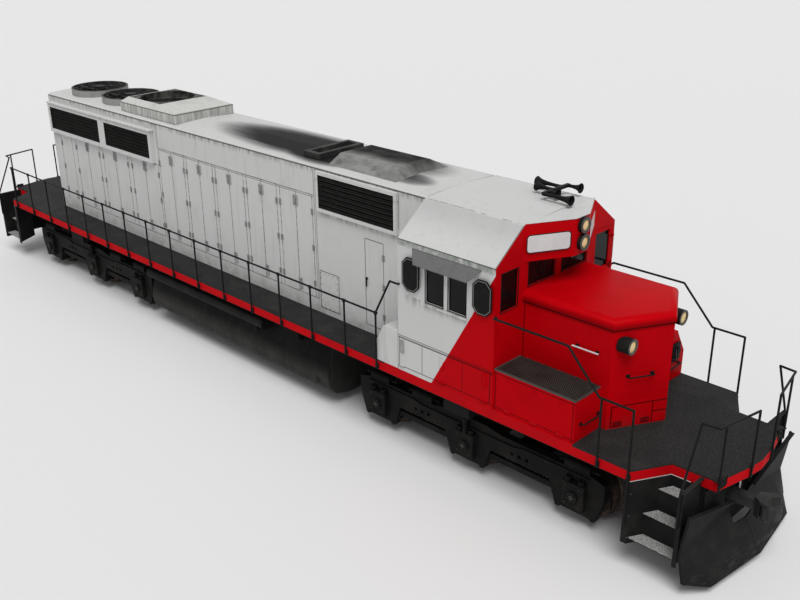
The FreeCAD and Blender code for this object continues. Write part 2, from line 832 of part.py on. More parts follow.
def hood_outline(inset):
    """Section of the long hood, drawn in by the wall."""
    return [
        (-hood_half + inset, deck_top), (hood_half - inset, deck_top),
        (hood_half - inset, hood_eave - inset / 2),
        (hood_half - hood_shoulder - inset, hood_eave + 45 - inset),
        (zero, hood_crown - inset),
        (-hood_half + hood_shoulder + inset, hood_eave + 45 - inset),
        (-hood_half + inset, hood_eave - inset / 2)]


def door_bays():
    """Rear end, front end, top and number of leaves of each door opening in the hood side."""
    bays = [(radiator_doors_rear, radiator_doors_rear + radiator_door_single, radiator_door_top, 1)]
    rear = radiator_doors_rear + radiator_door_single + radiator_door_post * 1.3
    for i in range(3):
        bays.append((rear, rear + radiator_door_width, radiator_door_top, 2))
        rear = rear + radiator_door_width + radiator_door_post
    for i in range(5):
        rear = engine_doors_rear + (engine_door_width + engine_door_post) * i
        bays.append((rear, rear + engine_door_width, engine_door_top, 2))
    return bays


def hood():
    """Long hood shell with its door openings, and the doors that fill them."""
    outer = prism("hood_outer", "YZ", hood_rear, cab_rear, [hood_outline(zero)])
    inner = prism("hood_inner", "YZ", hood_rear + hood_wall, cab_rear, [hood_outline(hood_wall)])
    tools = [inner]
    leaves = []
    for i, (rear, front, top, count) in enumerate(door_bays()):
        tools.append(block("bay_%d" % i, (rear, -hood_half - 1, door_bottom),
                           (front, hood_half + 1, top)))
        width = (front - rear - door_gap * (count - 1)) / count
        for j in range(count):
            low = rear + (width + door_gap) * j
            leaves.append(block("leaf_%d_%d" % (i, j), (low, -hood_half, door_bottom + door_gap),
                                (low + width, -hood_half + hood_wall, top - door_gap)))
    tools.append(block("cabinet_bay", (cabinet_door_rear, -hood_half - 1, cabinet_door_low),
                       (cabinet_door_front, hood_half + 1, cabinet_door_top)))
    leaves.append(block("cabinet_leaf",
                        (cabinet_door_rear + door_gap, -hood_half, cabinet_door_low + door_gap),
                        (cabinet_door_front, -hood_half + hood_wall,
                         cabinet_door_top - door_gap)))
    for i, (rear, front, low, high) in enumerate(grille_places()):
        tools.append(block("grille_bay_%d" % i, (rear, -hood_half - 1, low),
                           (front, hood_half + 1, high)))
    for i in range(2):
        tools.append(round_bar("fan_hole_%d" % i, (fan_place + fan_pitch * i, zero, hood_eave - 200),
                               400, shroud_radius, "Z"))
    tools.append(round_bar("brake_fan_hole", (brake_fan_place(), zero, hood_eave - 200),
                           400, brake_fan_radius, "Z"))
    tools.append(block("stack_hole", (stack_rear, -stack_half, hood_eave - 100),
                       (stack_front, stack_half, hood_crown + 100)))
    node(cut("hood_shell", outer, tools), "hood_shell")
    right = group("leaves_right", leaves)
    node(group("hood_doors", both_sides("leaves", right)), "hood_doors")
    node(block("engine", (engine_rear, -engine_half, deck_top),
               (engine_front, engine_half, engine_top)), "engine")


def grille_places():
    """Rear, front, low and high of each opening for a grille."""
    return [
        (radiator_rear, radiator_split_rear, radiator_low, radiator_high),
        (radiator_split_front, radiator_front, radiator_low, radiator_high),
        (intake_rear, intake_front, intake_low, intake_high)]


def side_grilles():
    """Louvred grilles in proud frames on both sides of the hood."""
    places = grille_places()
    radiator = grille("radiator_grille", places[:2], grille_proud,
                      (radiator_rear - grille_frame, radiator_front + grille_frame),
                      (radiator_low - grille_frame, radiator_high + grille_frame))
    ledge = block("radiator_ledge",
                  (radiator_rear - grille_frame, -hood_half - grille_proud - ledge_proud,
                   radiator_high + grille_frame),
                  (radiator_front + grille_frame + ledge_proud, -hood_half,
                   radiator_high + grille_frame + ledge_thick))
    intake = grille("intake_grille", places[2:], intake_proud,
                    (intake_rear - intake_frame, intake_front + intake_frame),
                    (intake_low - intake_frame, intake_high + intake_frame))
    right = group("grilles_right", [join("radiator_right", [radiator, ledge]), intake])
    node(group("side_grilles", both_sides("grilles", right)), "side_grilles")


def grille(name, places, proud, span, levels):
    """A proud frame with louvres in each of its openings."""
    frame = block(name + "_frame", (span[0], -hood_half - proud, levels[0]),
                  (span[1], -hood_half, levels[1]))
    holes = []
    blades = []
    for i, (rear, front, low, high) in enumerate(places):
        holes.append(block("%s_hole_%d" % (name, i), (rear, -hood_half - proud - 1, low),
                           (front, -hood_half + 1, high)))
        pitch = (high - low) / grille_blades
        outer = -hood_half - proud + blade_inset
        inner = -hood_half + blade_back
        for j in range(grille_blades):
            level = low + pitch * j
            blade = [
                (outer, level), (outer + blade_thick, level), (inner, level + pitch * 0.8),
                (inner - blade_thick, level + pitch * 0.8)]
            blades.append(prism("%s_blade_%d_%d" % (name, i, j), "YZ", rear, front, [blade]))
    return join(name, [cut(name + "_ring", frame, holes)] + blades)


def brake_fan_place():
    """X of the fan under the brake grid housing."""
    return (brake_top_rear + brake_top_front) / 2


def fan_level():
    """Underside of the fan wheels."""
    return shroud_top - fan_clear - fan_depth - 40


def fan_unit(name, place, radius, top, bottom):
    """Shroud ring with its top grille, motor and carrying arms."""
    ring = cut(name + "_ring",
               round_bar(name + "_outer", (place, zero, bottom), top - bottom, radius, "Z"),
               [round_bar(name + "_bore", (place, zero, bottom - 1), top - bottom + 2,
                          radius - shroud_wall, "Z")])
    pieces = [ring]
    motor_top = fan_level() - fan_clear
    pieces.append(round_bar(name + "_motor", (place, zero, bottom), motor_top - bottom, 180, "Z"))
    pieces.append(round_bar(name + "_shaft", (place, zero, motor_top), fan_clear + fan_depth * 0.8,
                            fan_shaft, "Z"))
    for axis, reach in (("X", (radius - 20, as_size(25))), ("Y", (as_size(25), radius - 20))):
        pieces.append(block(name + "_arm_" + axis, (place - reach[0], -reach[1], bottom),
                            (place + reach[0], reach[1], bottom + 50)))
    for i in range(-3, 4):
        reach = radius * math.cos(i * 0.42) - 20
        across = radius * math.sin(i * 0.42)
        pieces.append(block(name + "_bar_%d" % i, (place - reach, across - 8, top - 30),
                            (place + reach, across + 8, top - 5)))
    return join(name, pieces)


def fan_wheel(name, place, radius):
    """Fan wheel: hub with pitched blades and a running bore for its shaft."""
    level = fan_level()
    hub = cut(name + "_hub", round_bar(name + "_boss", (place, zero, level), fan_depth, fan_hub, "Z"),
              [round_bar(name + "_bore", (place, zero, level - 1), fan_depth + 2,
                         fan_shaft + 0.06, "Z")])
    blades = []
    for i in range(fan_blades):
        blade = doc.addObject("Part::Box", "%s_blade_%d" % (name, i))
        bind(blade, "Length", radius - 60)
        blade.Width = 230
        blade.Height = 14
        turn = FreeCAD.Rotation(FreeCAD.Vector(0, 0, 1), 360 / fan_blades * i)
        pitch = FreeCAD.Rotation(FreeCAD.Vector(1, 0, 0), 15)
        offset = turn.multVec(pitch.multVec(FreeCAD.Vector(0, -115, -7)))
        blade.Placement = FreeCAD.Placement(offset, turn.multiply(pitch))
        start = turn.multVec(FreeCAD.Vector(60, 0, 0)) + offset
        bind(blade, "Placement.Base.x", place + start.x)
        bind(blade, "Placement.Base.y", start.y)
        bind(blade, "Placement.Base.z", level + fan_depth / 2 + start.z)
        blades.append(blade)
    holes = round_bar(name + "_clear", (place, zero, level - 100), 300, fan_shaft + 0.06, "Z")
    wheel = cut(name, join(name + "_solid", [hub] + blades), [holes])
    return node(wheel, name)


def fans():
    """Two radiator fans and the fan of the brake grids."""
    units = [
        fan_unit("radiator_fan_%d" % i, fan_place + fan_pitch * i, shroud_radius, shroud_top,
                 shroud_bottom)
        for i in range(2)]
    node(group("fan_shrouds", units), "fan_shrouds")
    for i in range(2):
        fan_wheel("fan_rotor_%d" % (i + 1), fan_place + fan_pitch * i,
                  shroud_radius - shroud_wall - fan_clear)
    lower = [
        (brake_rear, -brake_half), (brake_front, -brake_half), (brake_front, brake_half),
        (brake_rear, brake_half)]
    upper = [
        (brake_top_rear, -brake_top_half), (brake_top_front, -brake_top_half),
        (brake_top_front, brake_top_half), (brake_top_rear, brake_top_half)]
    base = prism("brake_base", "XY", hood_eave + 60, brake_shoulder, [lower])
    slope = loft("brake_slope", "XY", [(brake_shoulder, lower), (brake_top, upper)])
    solid = join("brake_hump", [base, slope])
    well = round_bar("brake_well", (brake_fan_place(), zero, shroud_bottom),
                     brake_top + 1 - shroud_bottom, brake_fan_radius, "Z")
    roof = prism("brake_roof_space", "YZ", brake_rear - 50, brake_front + 50, [[
        (-brake_half - 50, hood_eave), (brake_half + 50, hood_eave),
        (hood_half - hood_shoulder, hood_eave + 45), (zero, hood_crown),
        (-hood_half + hood_shoulder, hood_eave + 45)]])
    shell = cut("brake_shell", solid, [well, roof])
    unit = fan_unit("brake_fan", brake_fan_place(), brake_fan_radius, shroud_top, shroud_bottom)
    node(join("brake_housing", [shell, unit]), "brake_housing")
    fan_wheel("fan_rotor_3", brake_fan_place(), brake_fan_radius - shroud_wall - fan_clear)


def roof_pieces():
    """Exhaust stack and the sloped hatch in front of it."""
    outer = block("stack_outer", (stack_rear, -stack_half, hood_eave - 60),
                  (stack_front, stack_half, stack_top))
    slot = block("stack_slot", (stack_rear + stack_wall, -stack_half + stack_wall, hood_eave - 61),
                 (stack_front - stack_wall, stack_half - stack_wall, stack_top + 1))
    node(cut("exhaust_stack", outer, [slot]), "exhaust_stack")
    low = [(hatch_rear, -hatch_half), (hatch_front, -hatch_half), (hatch_front, hatch_half),
           (hatch_rear, hatch_half)]
    high = [(hatch_rear + 20, -hatch_top_half), (hatch_top_front, -hatch_top_half),
            (hatch_top_front, hatch_top_half), (hatch_rear + 20, hatch_top_half)]
    hump = loft("hatch_hump", "XY", [(hood_eave + 52, low), (hatch_top, high)])
    under = prism("hatch_under", "YZ", hatch_rear - 50, hatch_front + 50, [[
        (-hatch_half - 50, hood_eave), (hatch_half + 50, hood_eave),
        (hood_half - hood_shoulder, hood_eave + 45), (zero, hood_crown),
        (-hood_half + hood_shoulder, hood_eave + 45)]])
    node(cut("roof_hatch", hump, [under]), "roof_hatch")


def cab_outline(inset):
    """Section of the cab, drawn in by the wall."""
    return [
        (-deck_half + inset, deck_top), (deck_half - inset, deck_top),
        (deck_half - inset, cab_eave - inset / 2), (cab_break - inset / 2, cab_break_level - inset),
        (zero, hood_crown - inset), (-cab_break + inset / 2, cab_break_level - inset),
        (-deck_half + inset, cab_eave - inset / 2)]


def pane_places():
    """Low and high corners of each fixed pane's opening, through the wall."""
    places = []
    for rear, front in ((rear_pane_rear, rear_pane_front), (front_pane_rear, front_pane_front)):
        places.append(((rear, -deck_half, side_window_low),
                       (front, -deck_half + cab_wall, side_window_high)))
        places.append(((rear, deck_half - cab_wall, side_window_low),
                       (front, deck_half, side_window_high)))
    for side in (-1, 1):
        low = -windshield_outer if side < 0 else windshield_inner
        high = -windshield_inner if side < 0 else windshield_outer
        places.append(((cab_front - cab_wall, low, windshield_low),
                       (cab_front, high, windshield_high)))
    places.append(((cab_front - cab_wall, -outer_pane_outer, outer_pane_low),
                   (cab_front, -outer_pane_inner, outer_pane_high)))
    places.append(((cab_rear, outer_pane_inner, outer_pane_low),
                   (cab_rear + cab_wall, outer_pane_outer, outer_pane_high)))
    return places


def widened(name, low, high):
    """A cutting block that reaches a little past a wall on all its faces along X and Y."""
    spans = [as_size(high[i]) - low[i] for i in range(2)]
    thin = 0 if spans[0].value < spans[1].value else 1
    start = list(low)
    end = list(high)
    start[thin] = as_size(low[thin]) - 1
    end[thin] = as_size(high[thin]) + 1
    return block(name, tuple(start), tuple(end))


def cab():
    """Cab shell with its floor and lamp housing, panes, doors and inside fittings."""
    outer = prism("cab_outer", "YZ", cab_rear, cab_front, [cab_outline(zero)])
    lower_room = prism("cab_room", "YZ", cab_rear + cab_wall, cab_front - cab_wall,
                       [cab_outline(cab_wall)])
    floor = block("cab_floor_space", (cab_rear + cab_wall, -deck_half, cab_floor - cab_floor_plate),
                  (cab_front - cab_wall, deck_half, cab_floor))
    room = cut("cab_space", lower_room, [floor])
    tools = [room]
    for i, (low, high) in enumerate(pane_places()):
        tools.append(widened("pane_hole_%d" % i, low, high))
    tools.append(block("rear_doorway", (cab_rear - 1, -door_outer, rear_door_low),
                       (cab_rear + cab_wall + 1, -door_inner, cab_door_high)))
    tools.append(block("front_doorway", (cab_front - cab_wall - 1, door_inner, front_door_low),
                       (cab_front + 1, door_outer, cab_door_high)))
    walls = cut("cab_walls", outer, tools)
    prow = prism("lamp_prow", "XY", prow_bottom, hood_crown - 40, [[
        (cab_front, -cab_break), (prow_front, -prow_half), (prow_front, prow_half),
        (cab_front, cab_break)]])
    canopy = prism("roof_canopy", "XY", cab_break_level + 15, hood_crown - 30, [[
        (cab_front, -cab_break - 10), (prow_front + 10, -prow_half - 10),
        (prow_front + 10, prow_half + 10), (cab_front, cab_break + 10)]])
    hinges = [
        door_hinge("rear_hinge_%d" % i, cab_rear, -1, -door_outer, -1, level, True)
        for i, level in enumerate((rear_door_low + 120, rear_door_low + 700, cab_door_high - 220))]
    hinges += [
        door_hinge("front_hinge_%d" % i, cab_front, 1, door_outer, 1, level, True)
        for i, level in enumerate((front_door_low + 120, front_door_low + 600, cab_door_high - 220))]
    node(join("cab_shell", [walls, prow, canopy] + hinges), "cab_shell")

    panes = []
    for i, (low, high) in enumerate(pane_places()):
        spans = [as_size(high[j]) - low[j] for j in range(2)]
        thin = 0 if spans[0].value < spans[1].value else 1
        start = list(low)
        end = list(high)
        start[thin] = as_size(low[thin]) + (cab_wall - glass_thick) / 2
        end[thin] = start[thin] + glass_thick
        panes.append(block("pane_%d" % i, tuple(start), tuple(end)))
    node(group("cab_glass", panes), "cab_glass")

    cab_door("cab_door_rear", "door_glass_rear", cab_rear, -1, rear_door_low, 700)
    cab_door("cab_door_front", "door_glass_front", cab_front - door_thick, 1, front_door_low, 600)

    fittings = []
    seat_rear = (cab_rear + cab_front) / 2 - seat_back_off - seat_depth / 2
    seat_top = cab_floor + seat_height
    for side in (-1, 1):
        place = deck_half * 0.62 * side
        fittings.append(join("seat_%d" % side, [
            block("seat_post_%d" % side, (seat_rear + 200, place - 60, cab_floor),
                  (seat_rear + 320, place + 60, seat_top)),
            block("seat_pad_%d" % side, (seat_rear, place - seat_half, seat_top),
                  (seat_rear + seat_depth, place + seat_half, seat_top + 100)),
            block("seat_rest_%d" % side, (seat_rear, place - seat_half, seat_top + 100),
                  (seat_rear + 100, place + seat_half, seat_top + 650))]))
    stand_front = cab_front - stand_off
    fittings.append(block("control_stand", (stand_front - stand_depth, -700, cab_floor),
                          (stand_front, -250, cab_floor + stand_height)))
    node(group("cab_fittings", fittings), "cab_fittings")


def door_hinge(name, face, way, edge, side, level, fixed):
    """One half of an upright pin hinge on the wall face that looks along way in X."""
    axis_x = face + hinge_off * way
    near = axis_x - hinge_radius * 0.5
    far = axis_x + hinge_radius * 0.5
    low_x, high_x = (face - 2, far) if way > 0 else (near, face + 2)
    if fixed:
        low_y = edge if side > 0 else edge - 45
        barrel = round_bar(name + "_barrel", (axis_x, edge, level), hinge_length, hinge_radius, "Z")
        pin = round_bar(name + "_pin", (axis_x, edge, level), hinge_length * 2, hinge_pin, "Z")
        strap = block(name + "_strap", (low_x, low_y, level), (high_x, low_y + 45, level + hinge_length))
        return join(name, [barrel, pin, strap])
    start = level + hinge_length + fit_gap
    low_y = edge - leaf_gap - 90 if side > 0 else edge + leaf_gap
    barrel = round_bar(name + "_barrel", (axis_x, edge, start), hinge_length, hinge_radius, "Z")
    strap = block(name + "_strap", (low_x, low_y, start), (high_x, low_y + 90, start + hinge_length))
    low_x, high_x = (face + 2, far) if way > 0 else (near, face - 2)
    low_y = edge - leaf_gap - 2 if side > 0 else edge
    link = block(name + "_link", (low_x, low_y, start),
                 (high_x, low_y + leaf_gap + 2, start + hinge_length))
    bore = round_bar(name + "_bore", (axis_x, edge, start - 1), hinge_length + 2,
                     hinge_pin + pin_fit, "Z")
    return cut(name, join(name + "_solid", [barrel, strap, link]), [bore])


def cab_door(name, pane_name, face, side, low_level, middle_hinge):
    """A hinged cab door with its pane."""
    way = side
    wall_face = face if side < 0 else face + door_thick
    edge = -door_outer if side < 0 else door_outer
    y_low = -door_outer if side < 0 else door_inner
    y_high = -door_inner if side < 0 else door_outer
    pane_low = -outer_pane_outer if side < 0 else outer_pane_inner
    pane_high = -outer_pane_inner if side < 0 else outer_pane_outer
    leaf = block(name + "_leaf", (face, y_low + leaf_gap, low_level + leaf_gap),
                 (face + door_thick, y_high - leaf_gap, cab_door_high - leaf_gap))
    hole = block(name + "_hole", (face - 1, pane_low, outer_pane_low),
                 (face + door_thick + 1, pane_high, outer_pane_high))
    pieces = [cut(name + "_panel", leaf, [hole])]
    for i, level in enumerate((low_level + 120, low_level + middle_hinge, cab_door_high - 220)):
        pieces.append(door_hinge("%s_hinge_%d" % (name, i), wall_face, way, edge, side, level, False))
    node(join(name, pieces), name)
    start = face + (door_thick - glass_thick) / 2
    node(block(pane_name, (start, pane_low, outer_pane_low),
               (start + glass_thick, pane_high, outer_pane_high)), pane_name)


def window_fittings():
    """Sunshades over the side windows and the wind wings beside them."""
    at_wall = [
        (shade_rear, shade_seat - shade_thick), (shade_front, shade_seat - shade_thick),
        (shade_front, shade_seat), (shade_rear, shade_seat)]
    outside = [
        (shade_rear + shade_taper, shade_seat - shade_drop - shade_thick),
        (shade_front - shade_taper, shade_seat - shade_drop - shade_thick),
        (shade_front - shade_taper, shade_seat - shade_drop),
        (shade_rear + shade_taper, shade_seat - shade_drop)]
    pieces = [loft("sunshade", "XZ", [(deck_half, at_wall), (deck_half + shade_reach, outside)])]
    for i, rear in enumerate((wing_rear, wing_front)):
        front = rear + wing_width
        low = wing_low + wing_rise * i
        high = wing_high + wing_rise * i
        outline = [
            (rear + wing_corner, low), (front - wing_corner, low), (front, low + wing_corner),
            (front, high - wing_corner), (front - wing_corner, high), (rear + wing_corner, high),
            (rear, high - wing_corner), (rear, low + wing_corner)]
        plate = prism("wing_plate_%d" % i, "XZ", -deck_half - wing_off - wing_thick,
                      -deck_half - wing_off, [outline])
        middle = rear + wing_width / 2
        stay = block("wing_stay_%d" % i, (middle - wing_thick, -deck_half - wing_off, low + wing_corner),
                     (middle + wing_thick, -deck_half, high - wing_corner))
        pieces.append(join("wing_%d" % i, [plate, stay]))
    right = group("window_fittings_right", pieces)
    node(group("window_fittings", both_sides("window_fittings", right)), "window_fittings")


def nose():
    """Short hood with a prow-shaped front and a lipped roof."""
    plan = [
        (cab_front, -nose_half), (nose_corner, -nose_half), (nose_apex, zero),
        (nose_corner, nose_half), (cab_front, nose_half)]
    inner = [
        (cab_front + nose_wall, -nose_half + nose_wall), (nose_corner - nose_wall, -nose_half + nose_wall),
        (nose_apex - nose_wall * 1.3, zero), (nose_corner - nose_wall, nose_half - nose_wall),
        (cab_front + nose_wall, nose_half - nose_wall)]
    cap_plan = [
        (cab_front, -nose_half - lip_proud), (nose_corner + lip_proud, -nose_half - lip_proud),
        (nose_apex + lip_proud * 1.2, zero), (nose_corner + lip_proud, nose_half + lip_proud),
        (cab_front, nose_half + lip_proud)]
    crown_plan = [
        (cab_front, -nose_half + 110), (nose_corner - 90, -nose_half + 110), (nose_apex - 150, zero),
        (nose_corner - 90, nose_half - 110), (cab_front, nose_half - 110)]
    walls = cut("nose_walls", prism("nose_outer", "XY", deck_top, nose_lip, [plan]),
                [prism("nose_inner", "XY", deck_top - 1, nose_lip + 1, [inner])])
    cap = loft("nose_cap", "XY", [(nose_lip, cap_plan), (nose_lip + 50, cap_plan), (nose_top, crown_plan)])
    node(join("nose", [walls, cap]), "nose")


def lid_hinge(name, side, rear, front, top, fixed):
    """Barrels of a lid hinge between two X places, along the nose side of a box."""
    across = (nose_half + 15) * side
    level = top - lid_thick / 2
    pieces = []
    count = 5
    pitch = (front - rear) / count
    for i in range(count):
        start = rear + pitch * i
        middle = start + pitch / 2
        if fixed:
            pieces.append(round_bar("%s_barrel_%d" % (name, i), (middle - 30, across, level), 30,
                                    lid_barrel, "X"))
            pieces.append(round_bar("%s_pin_%d" % (name, i), (middle - 30, across, level), 60,
                                    lid_pin, "X"))
            pieces.append(block("%s_foot_%d" % (name, i),
                                (middle - 30, across - 5, top - lid_thick - 1),
                                (middle, across + 5, level)))
        else:
            barrel = round_bar("%s_barrel_%d" % (name, i), (middle + fit_gap, across, level), 30,
                               lid_barrel, "X")
            edge = (nose_half + lid_edge) * side
            low = across if side > 0 else edge - 20
            high = edge + 20 if side > 0 else across
            plate = block("%s_plate_%d" % (name, i), (middle + fit_gap, low, level - 4),
                          (middle + fit_gap + 30, high, level + 4))
            bore = round_bar("%s_bore_%d" % (name, i), (middle, across, level), 32,
                             lid_pin + pin_fit, "X")
            pieces.append(cut("%s_knuckle_%d" % (name, i),
                              join("%s_solid_%d" % (name, i), [barrel, plate]), [bore]))
    return pieces


def side_boxes():
    """Boxes beside the nose with hinged lids, and the step box behind the cab."""
    right = block("right_box", (cab_front, -box_half, deck_top),
                  (box_front, -nose_half, right_box_top - lid_thick))
    left_outline = [
        (nose_half, deck_top), (box_half, deck_top), (box_half, left_box_side),
        (left_box_break, left_box_top - lid_thick), (nose_half, left_box_top - lid_thick)]
    left = prism("left_box", "YZ", cab_front, box_front, [left_outline])
    ledge = block("left_box_ledge", (cab_front, nose_half, left_box_top - lid_thick),
                  (left_lid_rear - leaf_gap, left_box_break, left_box_top))
    step_outline = [
        (step_box_rear, deck_top), (cab_rear, deck_top), (cab_rear, step_box_top),
        (step_box_knee, step_box_top), (step_box_rear, step_box_low)]
    step = prism("step_box", "XZ", -deck_half + step_box_inset, -hood_half, [step_outline])
    rear = cab_front + leaf_gap
    right_solid = join("right_box_solid", [right] + lid_hinge(
        "right_lid_fixed", -1, rear, box_front, right_box_top, True))
    left_solid = join("left_box_solid", [left, ledge] + lid_hinge(
        "left_lid_fixed", 1, left_lid_rear, box_front, left_box_top, True))
    node(group("side_boxes", [right_solid, left_solid, step]), "side_boxes")
    right_lid = block("right_lid_plate", (rear, -box_half, right_box_top - lid_thick + fit_gap),
                      (box_front, -nose_half - lid_edge, right_box_top + fit_gap))
    node(join("box_lid_right", [right_lid] + lid_hinge(
        "right_lid_turning", -1, rear, box_front, right_box_top, False)), "box_lid_right")
    left_lid = block("left_lid_plate", (left_lid_rear, nose_half + lid_edge,
                                        left_box_top - lid_thick + fit_gap),
                     (box_front, left_box_break, left_box_top + fit_gap))
    node(join("box_lid_left", [left_lid] + lid_hinge(
        "left_lid_turning", 1, left_lid_rear, box_front, left_box_top, False)), "box_lid_left")


def lamps():
    """Twin headlights at both ends, ditch lights and number boards."""
    housings = []
    lenses = []
    for i in range(2):
        level = headlight_low + headlight_pitch * i
        rim = round_bar("headlight_body_%d" % i, (prow_front, zero, level), 60, headlight_rim, "X")
        bowl = round_bar("headlight_bowl_%d" % i, (prow_front + 30, zero, level), 31, headlight_radius, "X")
        housings.append(cut("headlight_%d" % i, rim, [bowl]))
        lenses.append(round_bar("headlight_lens_%d" % i, (prow_front + 30, zero, level), 15,
                                headlight_radius, "X"))
        level = rear_light_low + headlight_pitch * i
        rim = round_bar("rear_light_body_%d" % i, (hood_rear - 60, zero, level), 60, headlight_rim, "X")
        bowl = round_bar("rear_light_bowl_%d" % i, (hood_rear - 61, zero, level), 31,
                         headlight_radius, "X")
        housings.append(cut("rear_light_%d" % i, rim, [bowl]))
        lenses.append(round_bar("rear_light_lens_%d" % i, (hood_rear - 45, zero, level), 15,
                                headlight_radius, "X"))
    for side in (-1, 1):
        start = nose_corner + (nose_half - ditch_place) * (nose_apex - nose_corner) / nose_half
        body = round_bar("ditch_body_%d" % side, (start - 40, ditch_place * side, ditch_level), 190,
                         ditch_radius + 12, "X")
        face = prism("ditch_seat_%d" % side, "XY", ditch_level - 300, ditch_level + 300, [[
            (cab_front, -nose_half), (nose_corner, -nose_half), (nose_apex, zero),
            (nose_corner, nose_half), (cab_front, nose_half)]])
        bowl = round_bar("ditch_bowl_%d" % side, (start + 120, ditch_place * side, ditch_level), 31,
                         ditch_radius, "X")
        housings.append(cut("ditch_light_%d" % side, body, [face, bowl]))
        lenses.append(round_bar("ditch_lens_%d" % side, (start + 120, ditch_place * side, ditch_level),
                                15, ditch_radius, "X"))
    node(group("lamp_housings", housings), "lamp_housings")
    node(group("lamp_lenses", lenses), "lamp_lenses")

    corner = board_corner / 800
    sections = [
        (board_low, board_outline(corner)), (board_low + board_corner, board_outline(zero)),
        (board_high - board_corner, board_outline(zero)), (board_high, board_outline(corner))]
    right = loft("number_board", "XY", sections)
    rear = block("rear_board", (hood_rear - board_thick, -hood_half * 0.78, board_low),
                 (hood_rear, -hood_half * 0.3, board_high - board_corner * 2))
    node(group("number_boards", both_sides("number_board", group("boards_right", [right, rear]))),
         "number_boards")


def board_outline(inset):
    """Plan of a number board on the face of the lamp housing, drawn in at both ends."""
    points = []
    for share, off in ((inset + 0.02, 0), (inset + 0.02, 1), (0.9 - inset, 1), (0.9 - inset, 0)):
        points.append((
            cab_front + (prow_front - cab_front) * share + board_thick * 0.88 * off,
            -cab_break + (cab_break - prow_half) * share - board_thick * 0.48 * off))
    return points


def horn():
    """Air horn with its trumpets on the cab roof."""
    level = hood_crown + 90
    slope = (hood_crown - cab_break_level) / cab_break
    seat = cab_break_level + (cab_break - horn_side + 60) * slope
    pieces = [
        block("horn_foot", (horn_place - 60, horn_side - 60, seat + fit_gap),
              (horn_place + 60, horn_side + 60, level)),
        block("horn_bar", (horn_place - 35, horn_side - horn_reach, level - 30),
              (horn_place + 35, horn_side + horn_reach, level + 30))]
    bells = ((0.88, 230, 1), (-0.97, 500, 1), (-0.55, 150, 1), (0.5, 470, -1), (-0.12, 320, -1))
    for i, (share, length, way) in enumerate(bells):
        bell = doc.addObject("Part::Cone", "trumpet_%d" % i)
        bind(bell, "Radius1", bell_throat)
        bind(bell, "Radius2", bell_radius)
        bell.Height = length
        bell.Placement = FreeCAD.Placement(
            FreeCAD.Vector(), FreeCAD.Rotation(FreeCAD.Vector(0, 1, 0), 90 * way))
        bind(bell, "Placement.Base.x", horn_place + 20 * way)
        bind(bell, "Placement.Base.y", horn_side + horn_reach * share)
        bind(bell, "Placement.Base.z", level)
        pieces.append(bell)
    node(join("horn", pieces), "horn")


def rail_foot(place, side):
    """Bracket that holds the foot of a post to the sill."""
    return Part.makeBox(50, 40, 90, FreeCAD.Vector(
        place - 25, min(side * (deck_half.value + 40), side * deck_half.value), post_foot.value - 20))


def rail_path(points):
    """Round bars through a row of points."""
    solids = []
    for start, end in zip(points, points[1:]):
        solids += bar_between(start, end, rail_radius)
    return solids


def rail_node(name, groups):
    """Handrails of one side or end as plain shapes, each run fused."""
    piece = doc.addObject("Part::Feature", name)
    piece.Shape = Part.makeCompound([run[0].multiFuse(run[1:]) for run in groups])
    node(piece, name)


def handrails():
    """Side rails on their posts, front and rear rails."""
    for side, name in ((-1, "handrail_right"), (1, "handrail_left")):
        across = (rail_side.value) * side
        posts = [post_first.value + post_pitch.value * i for i in range(post_count)]
        posts.append(last_post.value)
        run = []
        for place in posts:
            run += bar_between((place, across, post_foot), (place, across, rail_level), rail_radius)
            run.append(rail_foot(place, side))
        cab_end = cab_rear.value + 40
        run += rail_path([
            (posts[0], across, rail_level), (posts[-1], across, rail_level),
            (posts[-1] + 340, across, high_rail), (cab_end, across, high_rail),
            (cab_end, side * (deck_half.value + rail_radius.value), high_rail)])
        mount = cab_front.value + rail_radius.value + fit_gap.value
        front = rail_path([
            (mount, side * (deck_half.value - 20), high_rail),
            (mount, across, high_rail), (high_rail_front, across, high_rail),
            (front_post_rear.value - 41, across, front_rail), (front_post_front, across, front_rail),
            (front_post_front, across, 700)])
        front += bar_between((front_post_rear, across, post_foot),
                             (front_post_rear, across, front_rail), rail_radius)
        front.append(rail_foot(front_post_rear.value, side))
        front.append(rail_foot(front_post_front.value, side))
        rail_node(name, [run, front])
    for end, name in ((1, "handrail_front"), (-1, "handrail_rear")):
        rail_node(name, [end_rail(end, side) for side in (-1, 1)])


def end_rail(end, side):
    """Rail round one corner of the deck's end, from its step to the opening in the middle."""
    bend = (rail_bend.value * end, rail_bend_side.value * side)
    step = (step_rail.value * end, step_rail_side.value * side)
    corner = (corner_post.value * end, corner_post_side.value * side)
    vertex = (vertex_post.value * end, vertex_post_side.value * side)
    plate = side * (deck_half.value + rail_radius.value + fit_gap.value)
    knee = ((step_rail.value + 12) * end, plate)
    run = rail_path([
        knee + (step_rail_low,), knee + (plate_top.value + 10,), step + (rail_level,),
        bend + (rail_level,), vertex + (rail_level,), vertex + (end_post_low,)])
    run += bar_between(corner + (end_post_low,), corner + (rail_level,), rail_radius)
    for (x, y), reach in ((corner, (-75, -20)), (vertex, (-40, 0))):
        low_x, high_x = sorted((x + reach[0] * end, x + 25 * end))
        low_y, high_y = sorted((y - 25 * side + reach[1] * side, y + 25 * side))
        run.append(Part.makeBox(high_x - low_x, high_y - low_y, 12,
                                FreeCAD.Vector(low_x, low_y, deck_top.value)))
    return run


